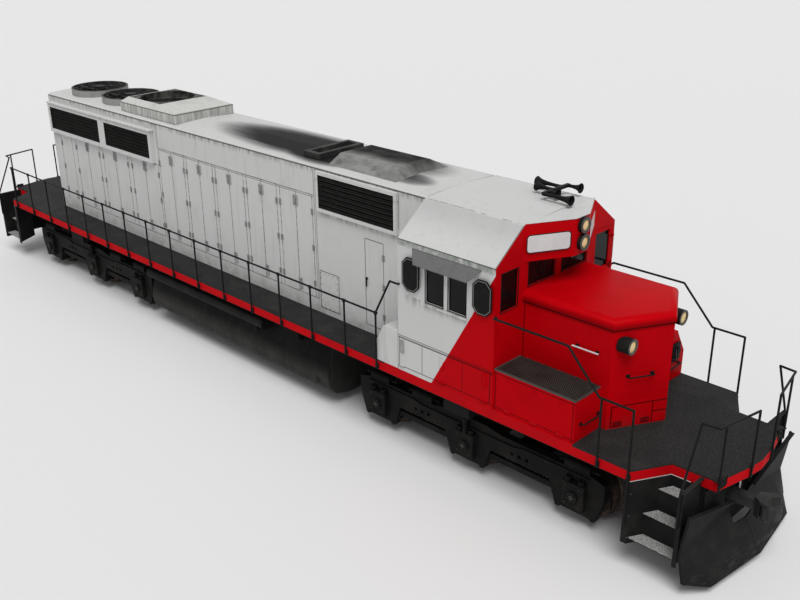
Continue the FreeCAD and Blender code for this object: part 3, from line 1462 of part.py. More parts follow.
def pedestal(centre):
    """Lower edge of a side frame round one axle."""
    return [
        (centre - leg_spread, frame_low), (centre - foot_outer, pedestal_foot),
        (centre - foot_inner, pedestal_foot), (centre - jaw_half, jaw_low),
        (centre - jaw_half, jaw_high), (centre + jaw_half, jaw_high), (centre + jaw_half, jaw_low),
        (centre + foot_inner, pedestal_foot), (centre + foot_outer, pedestal_foot),
        (centre + leg_spread, frame_low)]


def in_order(first, second):
    """Two sizes, the smaller one first."""
    return (first, second) if first.value < second.value else (second, first)


def bogie(name, place, way):
    """Bogie frame and the gear that it carries; way points along X to its outer end."""
    axles = [outer_axle * way, -middle_axle * way, -inner_axle * way]
    transoms = [(outer_axle - middle_axle) / 2 * way, -(middle_axle + inner_axle) / 2 * way]
    rear, front = in_order(axles[0] + frame_end * way, axles[2] - frame_end * way)
    outline = [(rear, frame_top - 60), (rear, frame_low + 60)]
    for centre in sorted(axles, key=lambda axle: axle.value):
        outline += pedestal(centre)
    outline += [
        (front, frame_low + 60), (front, frame_top - 60), (front - 260, frame_top),
        (axles[1] + hump_half + hump_run, frame_top), (axles[1] + hump_half, frame_hump),
        (axles[1] - hump_half, frame_hump), (axles[1] - hump_half - hump_run, frame_top),
        (rear + 260, frame_top)]
    holes = [
        (transom + hole_pitch * j, hole_level, hole_radius) for transom in transoms for j in (-1, 0, 1)]
    pieces = [prism(name + "_side", "XZ", -frame_outer, -frame_inner, [outline], holes)]
    for i, centre in enumerate(axles):
        pieces.append(block("%s_tie_%d" % (name, i), (centre - foot_inner * 0.9, -frame_outer + 20, tie_low),
                            (centre + foot_inner * 0.9, -frame_inner - 20, tie_high)))
    for i in range(2):
        rod_rear, rod_front = in_order(axles[i], axles[i + 1])
        pieces.append(block("%s_rod_%d" % (name, i),
                            (rod_rear + foot_outer + 55, -frame_inner - 100, rod_low),
                            (rod_front - foot_outer - 55, -frame_inner - 40, rod_high)))
    level = frame_top + brake_cylinder * 0.6
    across = -(frame_inner + frame_outer) / 2
    for i, centre in enumerate((axles[0], axles[2], transoms[1])):
        start = centre - brake_cylinder_length / 2
        pieces.append(round_bar("%s_brake_%d" % (name, i), (start, across, level),
                                brake_cylinder_length, brake_cylinder, "X"))
        pieces.append(round_bar("%s_brake_rod_%d" % (name, i), (start - 130, across, level),
                                brake_cylinder_length + 260, brake_cylinder * 0.3, "X"))
        pieces.append(block("%s_brake_seat_%d" % (name, i), (start + 60, across - 50, frame_top - 20),
                            (start + brake_cylinder_length - 60, across + 50, level)))
    damper = -frame_outer - damper_radius - fit_gap
    damper_low = axle_level + axle_box_high + fit_gap
    pieces.append(block(name + "_damper_lug", (axles[1] - damper_radius, damper, frame_top - 120),
                        (axles[1] + damper_radius, -frame_outer + 1, frame_top - 60)))
    pieces.append(round_bar(name + "_damper", (axles[1], damper, damper_low),
                            frame_hump - damper_low, damper_radius, "Z"))
    side = join(name + "_side_frame", pieces)
    pieces = both_sides(name + "_side", side)
    for i, transom in enumerate(transoms):
        pieces.append(block("%s_transom_%d" % (name, i),
                            (transom - transom_half, -frame_inner - 10, frame_low),
                            (transom + transom_half, frame_inner + 10, frame_top - 100)))
    bowl_level = girder_bottom - centre_plate_drop - fit_gap
    low, high = in_order(transoms[0], transoms[1])
    pieces.append(block(name + "_bridge", (low - transom_half, -bridge_half, frame_top - 140),
                        (high + transom_half, bridge_half, frame_top)))
    pieces.append(round_bar(name + "_bowl", (zero, zero, frame_top - 10), bowl_level - frame_top + 10,
                            centre_plate + bowl_rim, "Z"))
    solid = join(name + "_solid", pieces)
    bore = round_bar(name + "_pin_bore", (zero, zero, frame_top - 200), 400, centre_pin + 6, "Z")
    frame = cut(name + "_frame", solid, [bore])
    bind(frame, "Placement.Base.x", place)
    node(frame, name.replace("bogie", "bogie_frame"))

    gear = []
    for i, centre in enumerate(axles):
        half = jaw_half - fit_gap
        outer = -frame_outer - axle_box_proud
        box = block("%s_box_%d" % (name, i), (centre - half, outer, axle_level - axle_box_low),
                    (centre + half, -frame_inner + 30, axle_level + axle_box_high))
        bore = round_bar("%s_box_bore_%d" % (name, i), (centre, -journal_end - fit_gap, axle_level),
                         journal_end, journal_radius + pin_fit, "Y")
        cover = round_bar("%s_cover_%d" % (name, i), (centre, outer - box_cover_depth, axle_level),
                          box_cover_depth, box_cover, "Y")
        hollow = join("%s_box_right_%d" % (name, i), [cut("%s_box_cut_%d" % (name, i), box, [bore]), cover])
        gear += both_sides("%s_box_%d" % (name, i), hollow)
        transom = transoms[min(i, 1)]
        inward = 1 if transom.value < centre.value else -1
        low, high = in_order(transom + transom_half * inward, centre)
        motor = block("%s_motor_%d" % (name, i), (low, -motor_half, axle_level - motor_height),
                      (high, motor_half, axle_level + motor_height))
        bearing = round_bar("%s_bearing_%d" % (name, i), (centre, -motor_half - 1, axle_level),
                            motor_half * 2 + 2, axle_radius + pin_fit, "Y")
        gear.append(cut("%s_motor_bored_%d" % (name, i), motor, [bearing]))
    running = group(name + "_gear", gear)
    bind(running, "Placement.Base.x", place)
    node(running, name.replace("bogie", "running_gear"))

    wheel_front = wheel_back + rim_width
    half = [
        (axle_radius, wheel_back - 30), (axle_radius + 55, wheel_back - 30),
        (axle_radius + 55, wheel_back + 35), (wheel_radius - 75, wheel_back + 45),
        (wheel_radius - 75, wheel_back), (wheel_radius + flange_depth, wheel_back),
        (wheel_radius + flange_depth, wheel_back + 18), (wheel_radius, wheel_back + 36),
        (wheel_radius - 6, wheel_front), (wheel_radius - 75, wheel_front),
        (wheel_radius - 75, wheel_back + 75), (axle_radius + 55, wheel_back + 65),
        (axle_radius + 55, wheel_front + 10), (journal_radius, wheel_front + 10),
        (journal_radius, journal_end)]
    outline = [(radius, -as_size(along)) for radius, along in reversed(half)] + half
    outline = [(zero, -journal_end)] + outline + [(zero, journal_end)]
    ordered = axles if way > 0 else list(reversed(axles))
    for i, centre in enumerate(ordered):
        node_name = "wheelset_%d" % (i + (1 if way > 0 else 4))
        node(turned(node_name, outline, (place + centre, zero, axle_level)), node_name)


def coupler(name, end):
    """Coupler head on its shank, with a hinged knuckle."""
    low = coupler_level - 140
    high = coupler_level + 150
    face = coupler_pivot + coupler_reach
    head = [
        (face - 230, -shank_half - 10), (face - 120, -170), (face - 10, -190), (face - 10, -125),
        (face - 70, -60), (face - 60, 70), (face + 40, 150), (face + 40, 195), (face - 60, 190),
        (face - 230, shank_half + 10)]
    pieces = [
        prism(name + "_head", "XY", low, high, [head]),
        block(name + "_shank", (coupler_pivot, -shank_half, coupler_level - 80),
              (face - 200, shank_half, coupler_level + 80)),
        round_bar(name + "_eye", (coupler_pivot, zero, coupler_level - 80), 160, 100, "Z")]
    solid = join(name + "_solid", pieces)
    pin_x = face - 40
    pin_y = -118
    slot = block(name + "_slot", (face - 125, -200, coupler_level - 95),
                 (face + 60, -36, coupler_level + 105))
    eye_bore = round_bar(name + "_eye_bore", (coupler_pivot, zero, coupler_level - 100), 200,
                         draft_pin + pin_fit, "Z")
    pin = round_bar(name + "_pin", (pin_x, pin_y, low), high - low, knuckle_pin, "Z")
    body = join(name + "_body", [cut(name + "_open", solid, [slot, eye_bore]), pin])
    knuckle = [
        (face - 60, -180), (face + 20, -185), (face + 105, -140), (face + 130, -40), (face + 120, 30),
        (face + 60, 25), (face + 60, -45), (face + 10, -70), (face - 40, -65)]
    arm = prism(name + "_knuckle_arm", "XY", coupler_level - 90, coupler_level + 100, [knuckle])
    hub = round_bar(name + "_knuckle_hub", (pin_x, pin_y, coupler_level - 90), 190, 70, "Z")
    bore = round_bar(name + "_knuckle_bore", (pin_x, pin_y, coupler_level - 95), 205,
                     knuckle_pin + pin_fit, "Z")
    tail = cut(name + "_knuckle", join(name + "_knuckle_solid", [arm, hub]), [bore])
    if end < 0:
        body = mirror(name + "_rear", mirror(name + "_turn", body, (0, 1, 0)), (1, 0, 0))
        tail = mirror(name + "_knuckle_rear", mirror(name + "_knuckle_turn", tail, (0, 1, 0)), (1, 0, 0))
    node(body, name)
    node(tail, name.replace("coupler", "knuckle"))


underframe()
fuel_tank()
air_reservoirs()
steps_and_pilots()
plow()
hood()
side_grilles()
fans()
roof_pieces()
cab()
window_fittings()
nose()
side_boxes()
lamps()
horn()
handrails()
bogie("bogie_front", bogie_place, 1)
bogie("bogie_rear", -bogie_place, -1)
coupler("coupler_front", 1)
coupler("coupler_rear", -1)

doc.recompute()
for piece in doc.Objects:
    if "Invalid" in piece.State or "Error" in piece.State:
        raise RuntimeError("%s failed: %s" % (piece.Name, piece.State))
for name, piece in node_names:
    if piece.Shape.isNull() or not piece.Shape.isValid():
        raise RuntimeError("%s has no valid shape" % name)
    piece.Shape.exportStep("parts/%s.step" % name)
print("nodes", len(node_names))
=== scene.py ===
import math
import bpy
from mathutils import Matrix, Vector


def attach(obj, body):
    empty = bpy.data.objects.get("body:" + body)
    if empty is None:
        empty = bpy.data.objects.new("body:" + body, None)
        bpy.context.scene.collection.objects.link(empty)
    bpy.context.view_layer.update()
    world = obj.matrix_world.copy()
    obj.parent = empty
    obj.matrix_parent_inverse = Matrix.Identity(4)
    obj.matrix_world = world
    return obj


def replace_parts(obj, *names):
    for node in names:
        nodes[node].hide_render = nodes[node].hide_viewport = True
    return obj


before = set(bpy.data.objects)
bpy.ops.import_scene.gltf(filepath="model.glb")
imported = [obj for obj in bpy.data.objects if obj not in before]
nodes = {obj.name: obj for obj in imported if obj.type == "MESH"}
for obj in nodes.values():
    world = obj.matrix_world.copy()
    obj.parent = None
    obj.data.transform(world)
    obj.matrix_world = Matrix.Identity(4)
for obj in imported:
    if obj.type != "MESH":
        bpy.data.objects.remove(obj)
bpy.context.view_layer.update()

# Places in metres: X looks ahead, Y to the left and Z up from the rails.
AHEAD = (1, 0, 0)
BEHIND = (-1, 0, 0)
OUT = (0, -1, 0)
AXLE_LEVEL = 0.536
HOOD_SIDE = 0.857
EAVES = 4.335
CAB_SIDE = 1.506
CAB_REAR = 4.668
CAB_FRONT = 6.625
BOX_SIDE = 1.482
BOX_FRONT = 8.077
# The nose's front runs slanting from a corner on each side to a middle edge.
NOSE_SIDE = 0.842
NOSE_CORNER = 8.186
NOSE_RUN = 0.469
NOSE_SLANT = 0.9638
NOSE_AHEAD = (NOSE_SIDE, -NOSE_RUN, 0)
VENT_FOOT = 1.635
LAMP_LEVELS = (3.975, 4.243)
HORN_LEVEL = 4.50
BRAKE_FAN = -3.7835
RADIATOR_FANS = (-6.666, -5.296)
# Rows of door pairs: rear end, pitch, width of a pair, number of pairs and head.
DOOR_ROWS = ((-6.568, 1.220, 1.075, 3, 3.45), (-3.000, 0.998, 0.918, 5, 3.83))
SINGLE_DOOR = (-7.275, 0.525, 0.525, 1, 3.45)
DOOR_FOOT = 1.865
LEAF_EDGE = 0.012
LOW_HINGES = (3.24, 2.68, 2.11)
HIGH_HINGES = (3.515, 2.83, 2.14)
HIGH_LATCHES = (-2.541, -1.543, -0.545, 0.453, 1.451)
LOW_LATCHES = (-6.030, -4.811, -3.590)


def grey(level):
    return (level, level, level)


WHITE = (0.60, 0.60, 0.595)
GRIME = (0.20, 0.21, 0.18)
MOSS = (0.13, 0.16, 0.12)
SOOT = grey(0.004)
RED = (0.50, 0.0005, 0.004)
DEEP_RED = (0.36, 0.0005, 0.003)
RED_SEAM = (0.05, 0.002, 0.003)
DARK = grey(0.009)
SEAM = (0.06, 0.06, 0.055)


class Wire:
    """A value, vector or colour on its way through a finish's nodes."""

    def __init__(self, finish, socket):
        self.finish = finish
        self.socket = socket

    def math(self, operation, *others):
        node = self.finish.tree.nodes.new("ShaderNodeMath")
        node.operation = operation
        for slot, value in zip(node.inputs, (self,) + others):
            self.finish.feed(slot, value)
        return Wire(self.finish, node.outputs[0])

    def __add__(self, other):
        return self.math("ADD", other)

    __radd__ = __add__

    def __sub__(self, other):
        return self.math("SUBTRACT", other)

    def __rsub__(self, other):
        return self.math("MULTIPLY", -1.0).math("ADD", other)

    def __mul__(self, other):
        return self.math("MULTIPLY", other)

    __rmul__ = __mul__

    def __truediv__(self, other):
        return self.math("DIVIDE", other)

    def __gt__(self, other):
        return self.math("GREATER_THAN", other)

    def __lt__(self, other):
        return self.math("LESS_THAN", other)

    def __abs__(self):
        return self.math("ABSOLUTE")


class Finish:
    """A procedural material and the tools to lay it out."""

    def __init__(self, name, roughness, metallic=0.0, coat=0.0, specular=0.08):
        self.material = bpy.data.materials.new(name)
        self.material.use_nodes = True
        self.tree = self.material.node_tree
        self.shader = self.tree.nodes["Principled BSDF"]
        self.shader.inputs["Roughness"].default_value = roughness
        self.shader.inputs["Metallic"].default_value = metallic
        self.shader.inputs["Coat Weight"].default_value = coat
        self.shader.inputs["Specular IOR Level"].default_value = specular
        self.place = self.add("TexCoord", {}, {}, "Object")
        split = self.tree.nodes.new("ShaderNodeSeparateXYZ")
        self.feed(split.inputs[0], self.place)
        self.axes = [Wire(self, socket) for socket in split.outputs]

    def feed(self, socket, value):
        if isinstance(value, Wire):
            self.tree.links.new(value.socket, socket)
        elif isinstance(value, tuple) and len(value) == 3 and socket.type == "RGBA":
            socket.default_value = value + (1.0,)
        else:
            socket.default_value = value

    def add(self, kind, settings, sockets, output=0):
        node = self.tree.nodes.new("ShaderNode" + kind)
        for key, value in settings.items():
            setattr(node, key, value)
        for key, value in sockets.items():
            self.feed(node.inputs[key], value)
        return Wire(self, node.outputs[output])

    def stretched(self, across, along, up):
        return self.add("Mapping", {}, {"Vector": self.place, "Scale": (across, along, up)})

    def noise(self, scale, detail=4.0, vector=None):
        return self.add("TexNoise", {}, {
            "Vector": vector or self.place, "Scale": scale, "Detail": detail, "Roughness": 0.55})

    def ramp(self, value, low, high, start=0.0, end=1.0):
        return self.add("MapRange", {"interpolation_type": "SMOOTHSTEP"}, {
            "Value": value, "From Min": low, "From Max": high, "To Min": start, "To Max": end})

    def spots(self, scale, detail, low, high, vector=None):
        return self.ramp(self.noise(scale, detail, vector), low, high)

    def mixed(self, factor, first, second):
        return self.add("Mix", {"data_type": "RGBA"}, {0: factor, 6: first, 7: second}, 2)

    def line(self, value, centre, half, soft=0.004):
        return self.ramp(abs(value - centre), half + soft, half)

    def patch(self, across, along, reach_x, reach_y):
        parts = [((axis - middle) / reach).math("POWER", 2.0) for axis, middle, reach in zip(
            self.axes, (across, along), (reach_x, reach_y))]
        return self.ramp(parts[0] + parts[1], 1.0, 0.0)

    def done(self, colour, rough=None, height=None, distance=0.002, strength=0.5):
        """Put colour, roughness and relief on the shader and give the material."""
        self.feed(self.shader.inputs["Base Color"], colour)
        if rough is not None:
            self.feed(self.shader.inputs["Roughness"], rough)
        if height is not None:
            self.feed(self.shader.inputs["Normal"], self.add(
                "Bump", {}, {"Height": height, "Distance": distance, "Strength": strength}))
        return self.material


def either(first, *others):
    """The largest of several masks."""
    for other in others:
        first = first.math("MAXIMUM", other)
    return first


def within(value, low, high):
    """1 between two bounds and 0 outside them."""
    return (value > low) * (value < high)


def outline(across, up, half_width, half_height, thick=0.018):
    """The edge of a rectangle, from the distances to its middle."""
    outer = (abs(across) < half_width) * (abs(up) < half_height)
    return outer - (abs(across) < half_width - thick) * (abs(up) < half_height - thick)


def dirt(finish, base, shade, amount, streak_scale=9.0):
    """Base paint with rain streaks that run down and cloudy grime."""
    streaks = finish.spots(streak_scale, 5.0, 0.52, 0.72, finish.stretched(1.0, 1.0, 0.09))
    wear = streaks * 0.6 + finish.spots(1.6, 5.0, 0.5, 0.8) * 0.5
    return finish.mixed(wear * amount, base, shade)


def drips(finish, low, high, reach=0.10):
    """Mossy streaks that hang from a level and fade downwards."""
    z = finish.axes[2]
    fall = finish.spots(16.0, 4.0, 0.36, 0.66, finish.stretched(1.0, 1.0, 0.10))
    return fall * finish.ramp(z, high - reach, high) * within(z, low, high)


def door_lines(finish, rear, pitch, width, count, head):
    """Seams of a row of door pairs: at both sides of each post and between the leaves."""
    x, z = finish.axes[::2]
    step = ((x - rear) / pitch).math("FRACT")
    row = within(x, rear, rear + pitch * count)
    seams = [finish.line(step, place / pitch, 0.007 / pitch, 0.006 / pitch)
             for place in (LEAF_EDGE, width / 2, width - LEAF_EDGE / 2)]
    sills = [finish.line(z, level, 0.006, 0.006) for level in (head, DOOR_FOOT)]
    broken = finish.spots(7.0, 3.0, 0.35, 0.6, finish.stretched(0.5, 0.5, 2.0)) * 0.55 + 0.45
    return either(either(*seams) * within(z, DOOR_FOOT, head), *sills) * row * broken


def roof_soot(finish):
    """Soot that the exhaust stack has blown over the roof."""
    x, z = finish.axes[::2]
    cloud = finish.noise(2.4, 6.0, finish.stretched(0.45, 1.5, 1.0))
    streak = finish.noise(7.0, 5.0, finish.stretched(0.12, 1.6, 1.0))
    blown = finish.patch(0.50, 0.02, 2.60, 0.80) * finish.ramp(x, -2.0, 1.6, 0.75, 1.15)
    for across, along, reach_x, reach_y, depth in (
            (2.00, 0.00, 1.30, 0.75, 0.60), (1.75, -0.50, 0.95, 0.34, 0.55),
            (2.95, 0.22, 1.45, 0.80, 0.45), (3.85, -0.35, 0.62, 0.30, 0.55)):
        blown = blown + finish.patch(across, along, reach_x, reach_y) * depth
    fire = (blown * (cloud * 0.6 + streak * 0.9 + 0.40)).math("MINIMUM", 1.0)
    return (1.0 - (1.0 - fire).math("POWER", 1.9)) * (z > EAVES)


def white_paint(name, hood):
    """White paint of the hood, with grime, seams and soot."""
    finish = Finish(name, 0.45, specular=0.02)
    x, y, z = finish.axes
    colour = dirt(finish, WHITE, GRIME, 0.22)
    seams = door_lines(finish, *SINGLE_DOOR) * (abs(x + 7.0125) > 0.23)
    edges = [finish.line(z, 3.796, 0.005) * within(x, -3.0, 1.95)]
    for across, low, high in ((-3.03, 3.83, 4.32), (-2.985, 3.83, 4.32), (1.965, 1.85, 4.32),
                              (2.005, 1.85, 4.32), (4.06, 3.70, 4.28)):
        edges.append(finish.line(x, across, 0.006) * within(z, low, high))
    cabinet = outline(x - 3.468, z - 2.546, 0.231, 0.805)
    seams = either(seams, *(door_lines(finish, *row) for row in DOOR_ROWS), either(*edges) * 0.8,
                   cabinet * 0.85)
    if hood:
        wall = abs(y) > 0.85
        foot = finish.ramp(z, 1.95, 1.60) * finish.spots(5.0, 4.0, 0.3, 0.7)
        colour = finish.mixed(foot * 0.4, colour, GRIME)
        colour = finish.mixed(drips(finish, 4.20, EAVES, 0.13) * wall * 0.75, colour, MOSS)
        rim = finish.line(z, 4.333, 0.009, 0.005) * (abs(y) > 0.84)
        colour = finish.mixed(rim * 0.85, colour, (0.05, 0.055, 0.045))
        for rear, front, low in ((-7.54, -3.13, 3.49), (2.08, 4.06, 3.59)):
            under = drips(finish, low - 0.3, low, 0.16) * within(x, rear, front) * wall
            colour = finish.mixed(under * 0.7, colour, GRIME)
        seams = either(seams, outline(x - 2.295, z - 2.075, 0.262, 0.372)) * wall
    colour = finish.mixed(seams * 0.8, colour, SEAM)
    if hood:
        colour = finish.mixed(roof_soot(finish) * 0.99, colour, SOOT)
    return finish.done(colour, 0.42 + finish.noise(30.0, 2.0) * 0.15,
                       finish.noise(2.5, 2.0) - seams * 0.6, 0.006)


def worn_red(finish):
    """Red paint that varies a little in depth."""
    return finish.mixed(finish.spots(1.3, 5.0, 0.35, 0.75) * 0.5, RED, DEEP_RED)


def red_paint(name):
    """Red paint with faint wear, the seams of the nose, and a painted shade band along the edge of
    the nose's rounded roof.
    """
    finish = Finish(name, 0.35, specular=0.02)
    x, y, z = finish.axes
    dust = finish.ramp(z, 1.9, 1.6) * finish.spots(6.0, 4.0, 0.35, 0.7)
    colour = finish.mixed(dust * 0.25, worn_red(finish), (0.10, 0.04, 0.035))
    # Painted shade: a soft dark red band around z 3.19, along the rounded lower edge of the nose
    # roof, where that edge turns away from the light.
    shade = finish.ramp(abs(z - 3.19), 0.10, 0.01) * (x > 6.64)
    colour = finish.mixed(shade * 0.55, colour, (0.10, 0.0005, 0.001))
    share = ((x - NOSE_CORNER) * NOSE_RUN + (NOSE_SIDE - abs(y)) * NOSE_SIDE) / NOSE_SLANT ** 2
    doors = either(finish.line(share, 0.078, 0.009, 0.004) * (z < 1.962),
                   finish.line(share, 0.762, 0.009, 0.004) * (z < 1.962),
                   finish.line(z, 1.956, 0.008, 0.004) * (share > 0.07),
                   finish.line(z, 1.790, 0.008, 0.004) * (share > 0.762))
    grooves = either(doors * (x > 8.19) * (abs(y) < 0.839) * (z > 1.61),
                     finish.line(z, 3.172, 0.012, 0.006) * (abs(y) < 0.9),
                     finish.line(x, 6.655, 0.006, 0.006) * (z < 3.17),
                     finish.line(x, 8.05, 0.007, 0.006) * (z < 2.44) * (abs(y) > 0.86),
                     finish.line(z, 2.225, 0.006, 0.005) * (abs(y) > 1.4) * (x > 6.6))
    colour = finish.mixed(grooves * 0.8, colour, (0.06, 0.002, 0.003))
    return finish.done(colour, 0.33 + finish.noise(25.0, 2.0) * 0.14,
                       finish.noise(2.5, 2.0) - grooves, 0.005, 0.4)


def panel_lines(finish):
    """Seams of the long panel low on the cab side."""
    x, y, z = finish.axes
    across = [finish.line(z, level, half) for level, half in (
        (2.224, 0.005), (2.187, 0.012), (1.680, 0.006))]
    uprights = either(*(finish.line(x, place, half) for place, half in (
        (5.19, 0.005), (6.03, 0.005), (6.57, 0.008), (4.69, 0.006))))
    return either(*across, uprights * within(z, 1.68, 2.187)) * (abs(y) > 1.5)


def cab_paint(name):
    """White roof and rear, red front, divided by a diagonal on the side, with painted shade that
    darkens the roof's slope towards its top.
    """
    finish = Finish(name, 0.42, specular=0.03)
    x, y, z = finish.axes
    white = dirt(finish, WHITE, GRIME, 0.18)
    wall = abs(y) > 1.5
    # Painted shade: the white is darkened towards the top of the curved roof slope, from z 3.95 up
    # to 4.33, standing in for how the light falls there.
    painted_slope_shade = finish.ramp(z, 3.95, 4.33) * (z < 4.345)
    white = finish.mixed(painted_slope_shade * 0.40, white, (0.34, 0.34, 0.338))
    white = finish.mixed(drips(finish, 3.69, 3.86, 0.16) * wall * 0.55, white, MOSS)
    gutter = (abs(z - 3.813) < 0.040) * finish.spots(14.0, 4.0, 0.32, 0.62)
    white = finish.mixed(gutter * wall * 0.55, white, (0.16, 0.19, 0.15))
    sill = either(*(abs(x - place) < half for place, half in (
        (5.444, 0.20), (5.903, 0.20), (4.98, 0.17))))
    white = finish.mixed(drips(finish, 2.72, 2.96, 0.22) * sill * wall * 0.7, white, GRIME)
    ridge = finish.line(abs(y), 0.866, 0.006, 0.006) * finish.spots(12.0, 2.0, 0.40, 0.55)
    white = finish.mixed(ridge * (z > 4.33) * 0.7, white, (0.10, 0.10, 0.09))
    stripe = (5.390 + (z - 1.603) * 0.5725).math("MINIMUM", 6.621)
    front = (x > stripe) * (z < 4.369)
    colour = finish.mixed(front, white, worn_red(finish))
    seams = either(panel_lines(finish), finish.line(z, 3.856, 0.006, 0.005) * wall * (x < 6.62),
                   finish.line(x, 6.612, 0.007, 0.004) * within(z, 3.83, 4.35))
    colour = finish.mixed(seams * 0.8, colour, finish.mixed(front, SEAM, RED_SEAM))
    return finish.done(colour, 0.38 + finish.noise(25.0, 2.0) * 0.14,
                       finish.noise(2.5, 2.0) - seams * 0.6, 0.005, 0.4)


def deck_paint(name):
    """Dark anti-slip deck over a red sill and a black girder."""
    finish = Finish(name, 0.75)
    x, y, z = finish.axes
    grit = finish.noise(60.0, 3.0)
    top = finish.mixed(finish.ramp(grit, 0.42, 0.68), grey(0.014), grey(0.040))
    top = finish.mixed(finish.spots(1.2, 5.0, 0.45, 0.7) * 0.4, top, grey(0.011))
    worn = finish.line(abs(y), 1.20, 0.16, 0.12) * finish.spots(2.5, 5.0, 0.42, 0.7)
    top = finish.mixed(worn * 0.2, top, (0.07, 0.068, 0.063))
    red = finish.mixed(finish.spots(3.0, 4.0, 0.4, 0.7) * 0.4, RED, DEEP_RED)
    end = abs(x) > 9.02
    outer = either(abs(y) > 1.489, end * (abs(y) > 0.5), abs(x) > 9.85)
    beside = within(x, 4.69, 6.62) * (abs(y) > 1.500) \
        + (y < -1.4825) * (within(x, 6.62, 8.075) + within(x, 4.345, 4.69))
    band = either((z < 1.580) * outer, beside) * (z > 1.434)
    under = finish.mixed(band, DARK, red)
    lip = end * (abs(y) > 0.95) * within(z, 1.42, 1.436)
    under = finish.mixed(lip, under, grey(0.6))
    colour = finish.mixed((z > 1.581) * (1.0 - beside), under, top)
    return finish.done(colour, None, grit * (z > 1.6), 0.004, 0.8)


def black_paint(name, shade=DARK, dust=(0.032, 0.029, 0.026), amount=0.5, roughness=0.6):
    """Black paint or cast steel under road dust."""
    finish = Finish(name, roughness, specular=0.05)
    fine = finish.spots(22.0, 4.0, 0.35, 0.75)
    wear = finish.spots(3.0, 6.0, 0.40, 0.72) * 0.6 + fine * 0.4
    return finish.done(finish.mixed(wear * amount, shade, dust), roughness - 0.1 + fine * 0.2,
                       finish.noise(40.0, 3.0), strength=0.6)


def tank_paint(name):
    """Black tank with welded seams, a film of dust and fuel, and painted light: a lighter lower
    half and end face.
    """
    finish = Finish(name, 0.5, specular=0.05)
    x, y, z = finish.axes
    weld = finish.ramp(abs((x / 0.96).math("FRACT") - 0.5), 0.012, 0.004)
    cloud = finish.spots(2.0, 6.0, 0.40, 0.72)
    fall = finish.spots(12.0, 4.0, 0.5, 0.7, finish.stretched(1.0, 1.0, 0.1))
    colour = finish.mixed(cloud * 0.5 + fall * 0.15, SOOT, (0.015, 0.0145, 0.0135))
    # Painted light mixed with road dust: lighter towards the bottom, as light falls on the tank's
    # lower bulge under a shaded top, and lighter on the end face beyond x 2.705, as if lit.
    dust = either(finish.ramp(z, 0.88, 0.58), (x > 2.705) * (abs(y) < 1.3))
    colour = finish.mixed(dust * (0.55 + cloud * 0.35), colour, (0.045, 0.044, 0.041))
    return finish.done(finish.mixed(weld * 0.5, colour, SOOT), 0.58 - fall * 0.25,
                       weld + finish.noise(3.0, 2.0) * 0.4, 0.006, 0.7)


def step_plates(name):
    """Black step wells with light steel treads."""
    finish = Finish(name, 0.55)
    x, y, z = finish.axes
    black = finish.mixed(finish.spots(3.0, 6.0, 0.40, 0.72) * 0.4, DARK, (0.03, 0.028, 0.025))
    treads = either(*(finish.line(z, level, 0.007, 0.001) for level in (0.530, 0.886, 1.242)))
    inside = treads * (abs(x) < 9.764) * (abs(y) > 0.92) * (abs(x) + abs(y) * 0.559 > 9.900)
    bright = finish.spots(45.0, 3.0, 0.35, 0.7)
    steel = finish.mixed(bright, (0.16, 0.16, 0.155), (0.46, 0.46, 0.45))
    colour = finish.mixed(inside, black, steel)
    return finish.done(colour, None, finish.noise(70.0, 3.0), 0.003, 0.7)


def plow_paint(name):
    """Black plow, scraped along its foot."""
    finish = Finish(name, 0.5)
    z = finish.axes[2]
    colour = finish.mixed(finish.spots(4.0, 6.0, 0.40, 0.72) * 0.4, grey(0.010),
                          (0.028, 0.026, 0.024))
    scrape = finish.spots(14.0, 5.0, 0.48, 0.66, finish.stretched(1.0, 0.3, 2.0)) \
        * finish.ramp(z, 0.42, 0.14)
    colour = finish.mixed(scrape * 0.22, colour, (0.09, 0.085, 0.08))
    return finish.done(colour, 0.58 - scrape * 0.2, finish.noise(40.0, 3.0), strength=0.6)


def roof_metal(finish, inner, pale, light):
    """Pale walls about a sooty middle of fans and grilles."""
    dark = finish.mixed(finish.spots(5.0, 4.0, 0.35, 0.7), grey(0.012), light)
    return finish.done(finish.mixed(inner, pale, dark), 0.45 + finish.noise(20.0) * 0.2,
                       finish.noise(25.0, 3.0))


def fan_paint(name):
    """Fan shrouds: pale wall, dark top."""
    finish = Finish(name, 0.5)
    x, y, z = finish.axes
    pale = dirt(finish, (0.30, 0.30, 0.29), GRIME, 0.9, 14.0)
    reach = [(x - place).math("POWER", 2.0) for place in RADIATOR_FANS]
    inner = reach[0].math("MINIMUM", reach[1]) + y * y < 0.392
    return roof_metal(finish, either(inner, z > 4.532), pale, (0.11, 0.115, 0.105))


def brake_paint(name):
    """Brake housing: pale walls, sooty grille and streaks."""
    finish = Finish(name, 0.5)
    x, y, z = finish.axes
    pale = dirt(finish, (0.58, 0.58, 0.56), GRIME, 0.5, 12.0)
    fall = finish.spots(16.0, 4.0, 0.34, 0.64, finish.stretched(1.0, 1.0, 0.10)) * (z < 4.572)
    pale = finish.mixed(fall * 0.55, pale, (0.16, 0.17, 0.14))
    pale = finish.mixed(finish.line(z, 4.572, 0.008, 0.006) * 0.75, pale, (0.05, 0.05, 0.045))
    off = x - BRAKE_FAN
    inner = either((abs(off) < 0.60) * (abs(y) < 0.585) * (z > 4.674), off * off + y * y < 0.3444)
    return roof_metal(finish, inner, pale, (0.10, 0.105, 0.09))


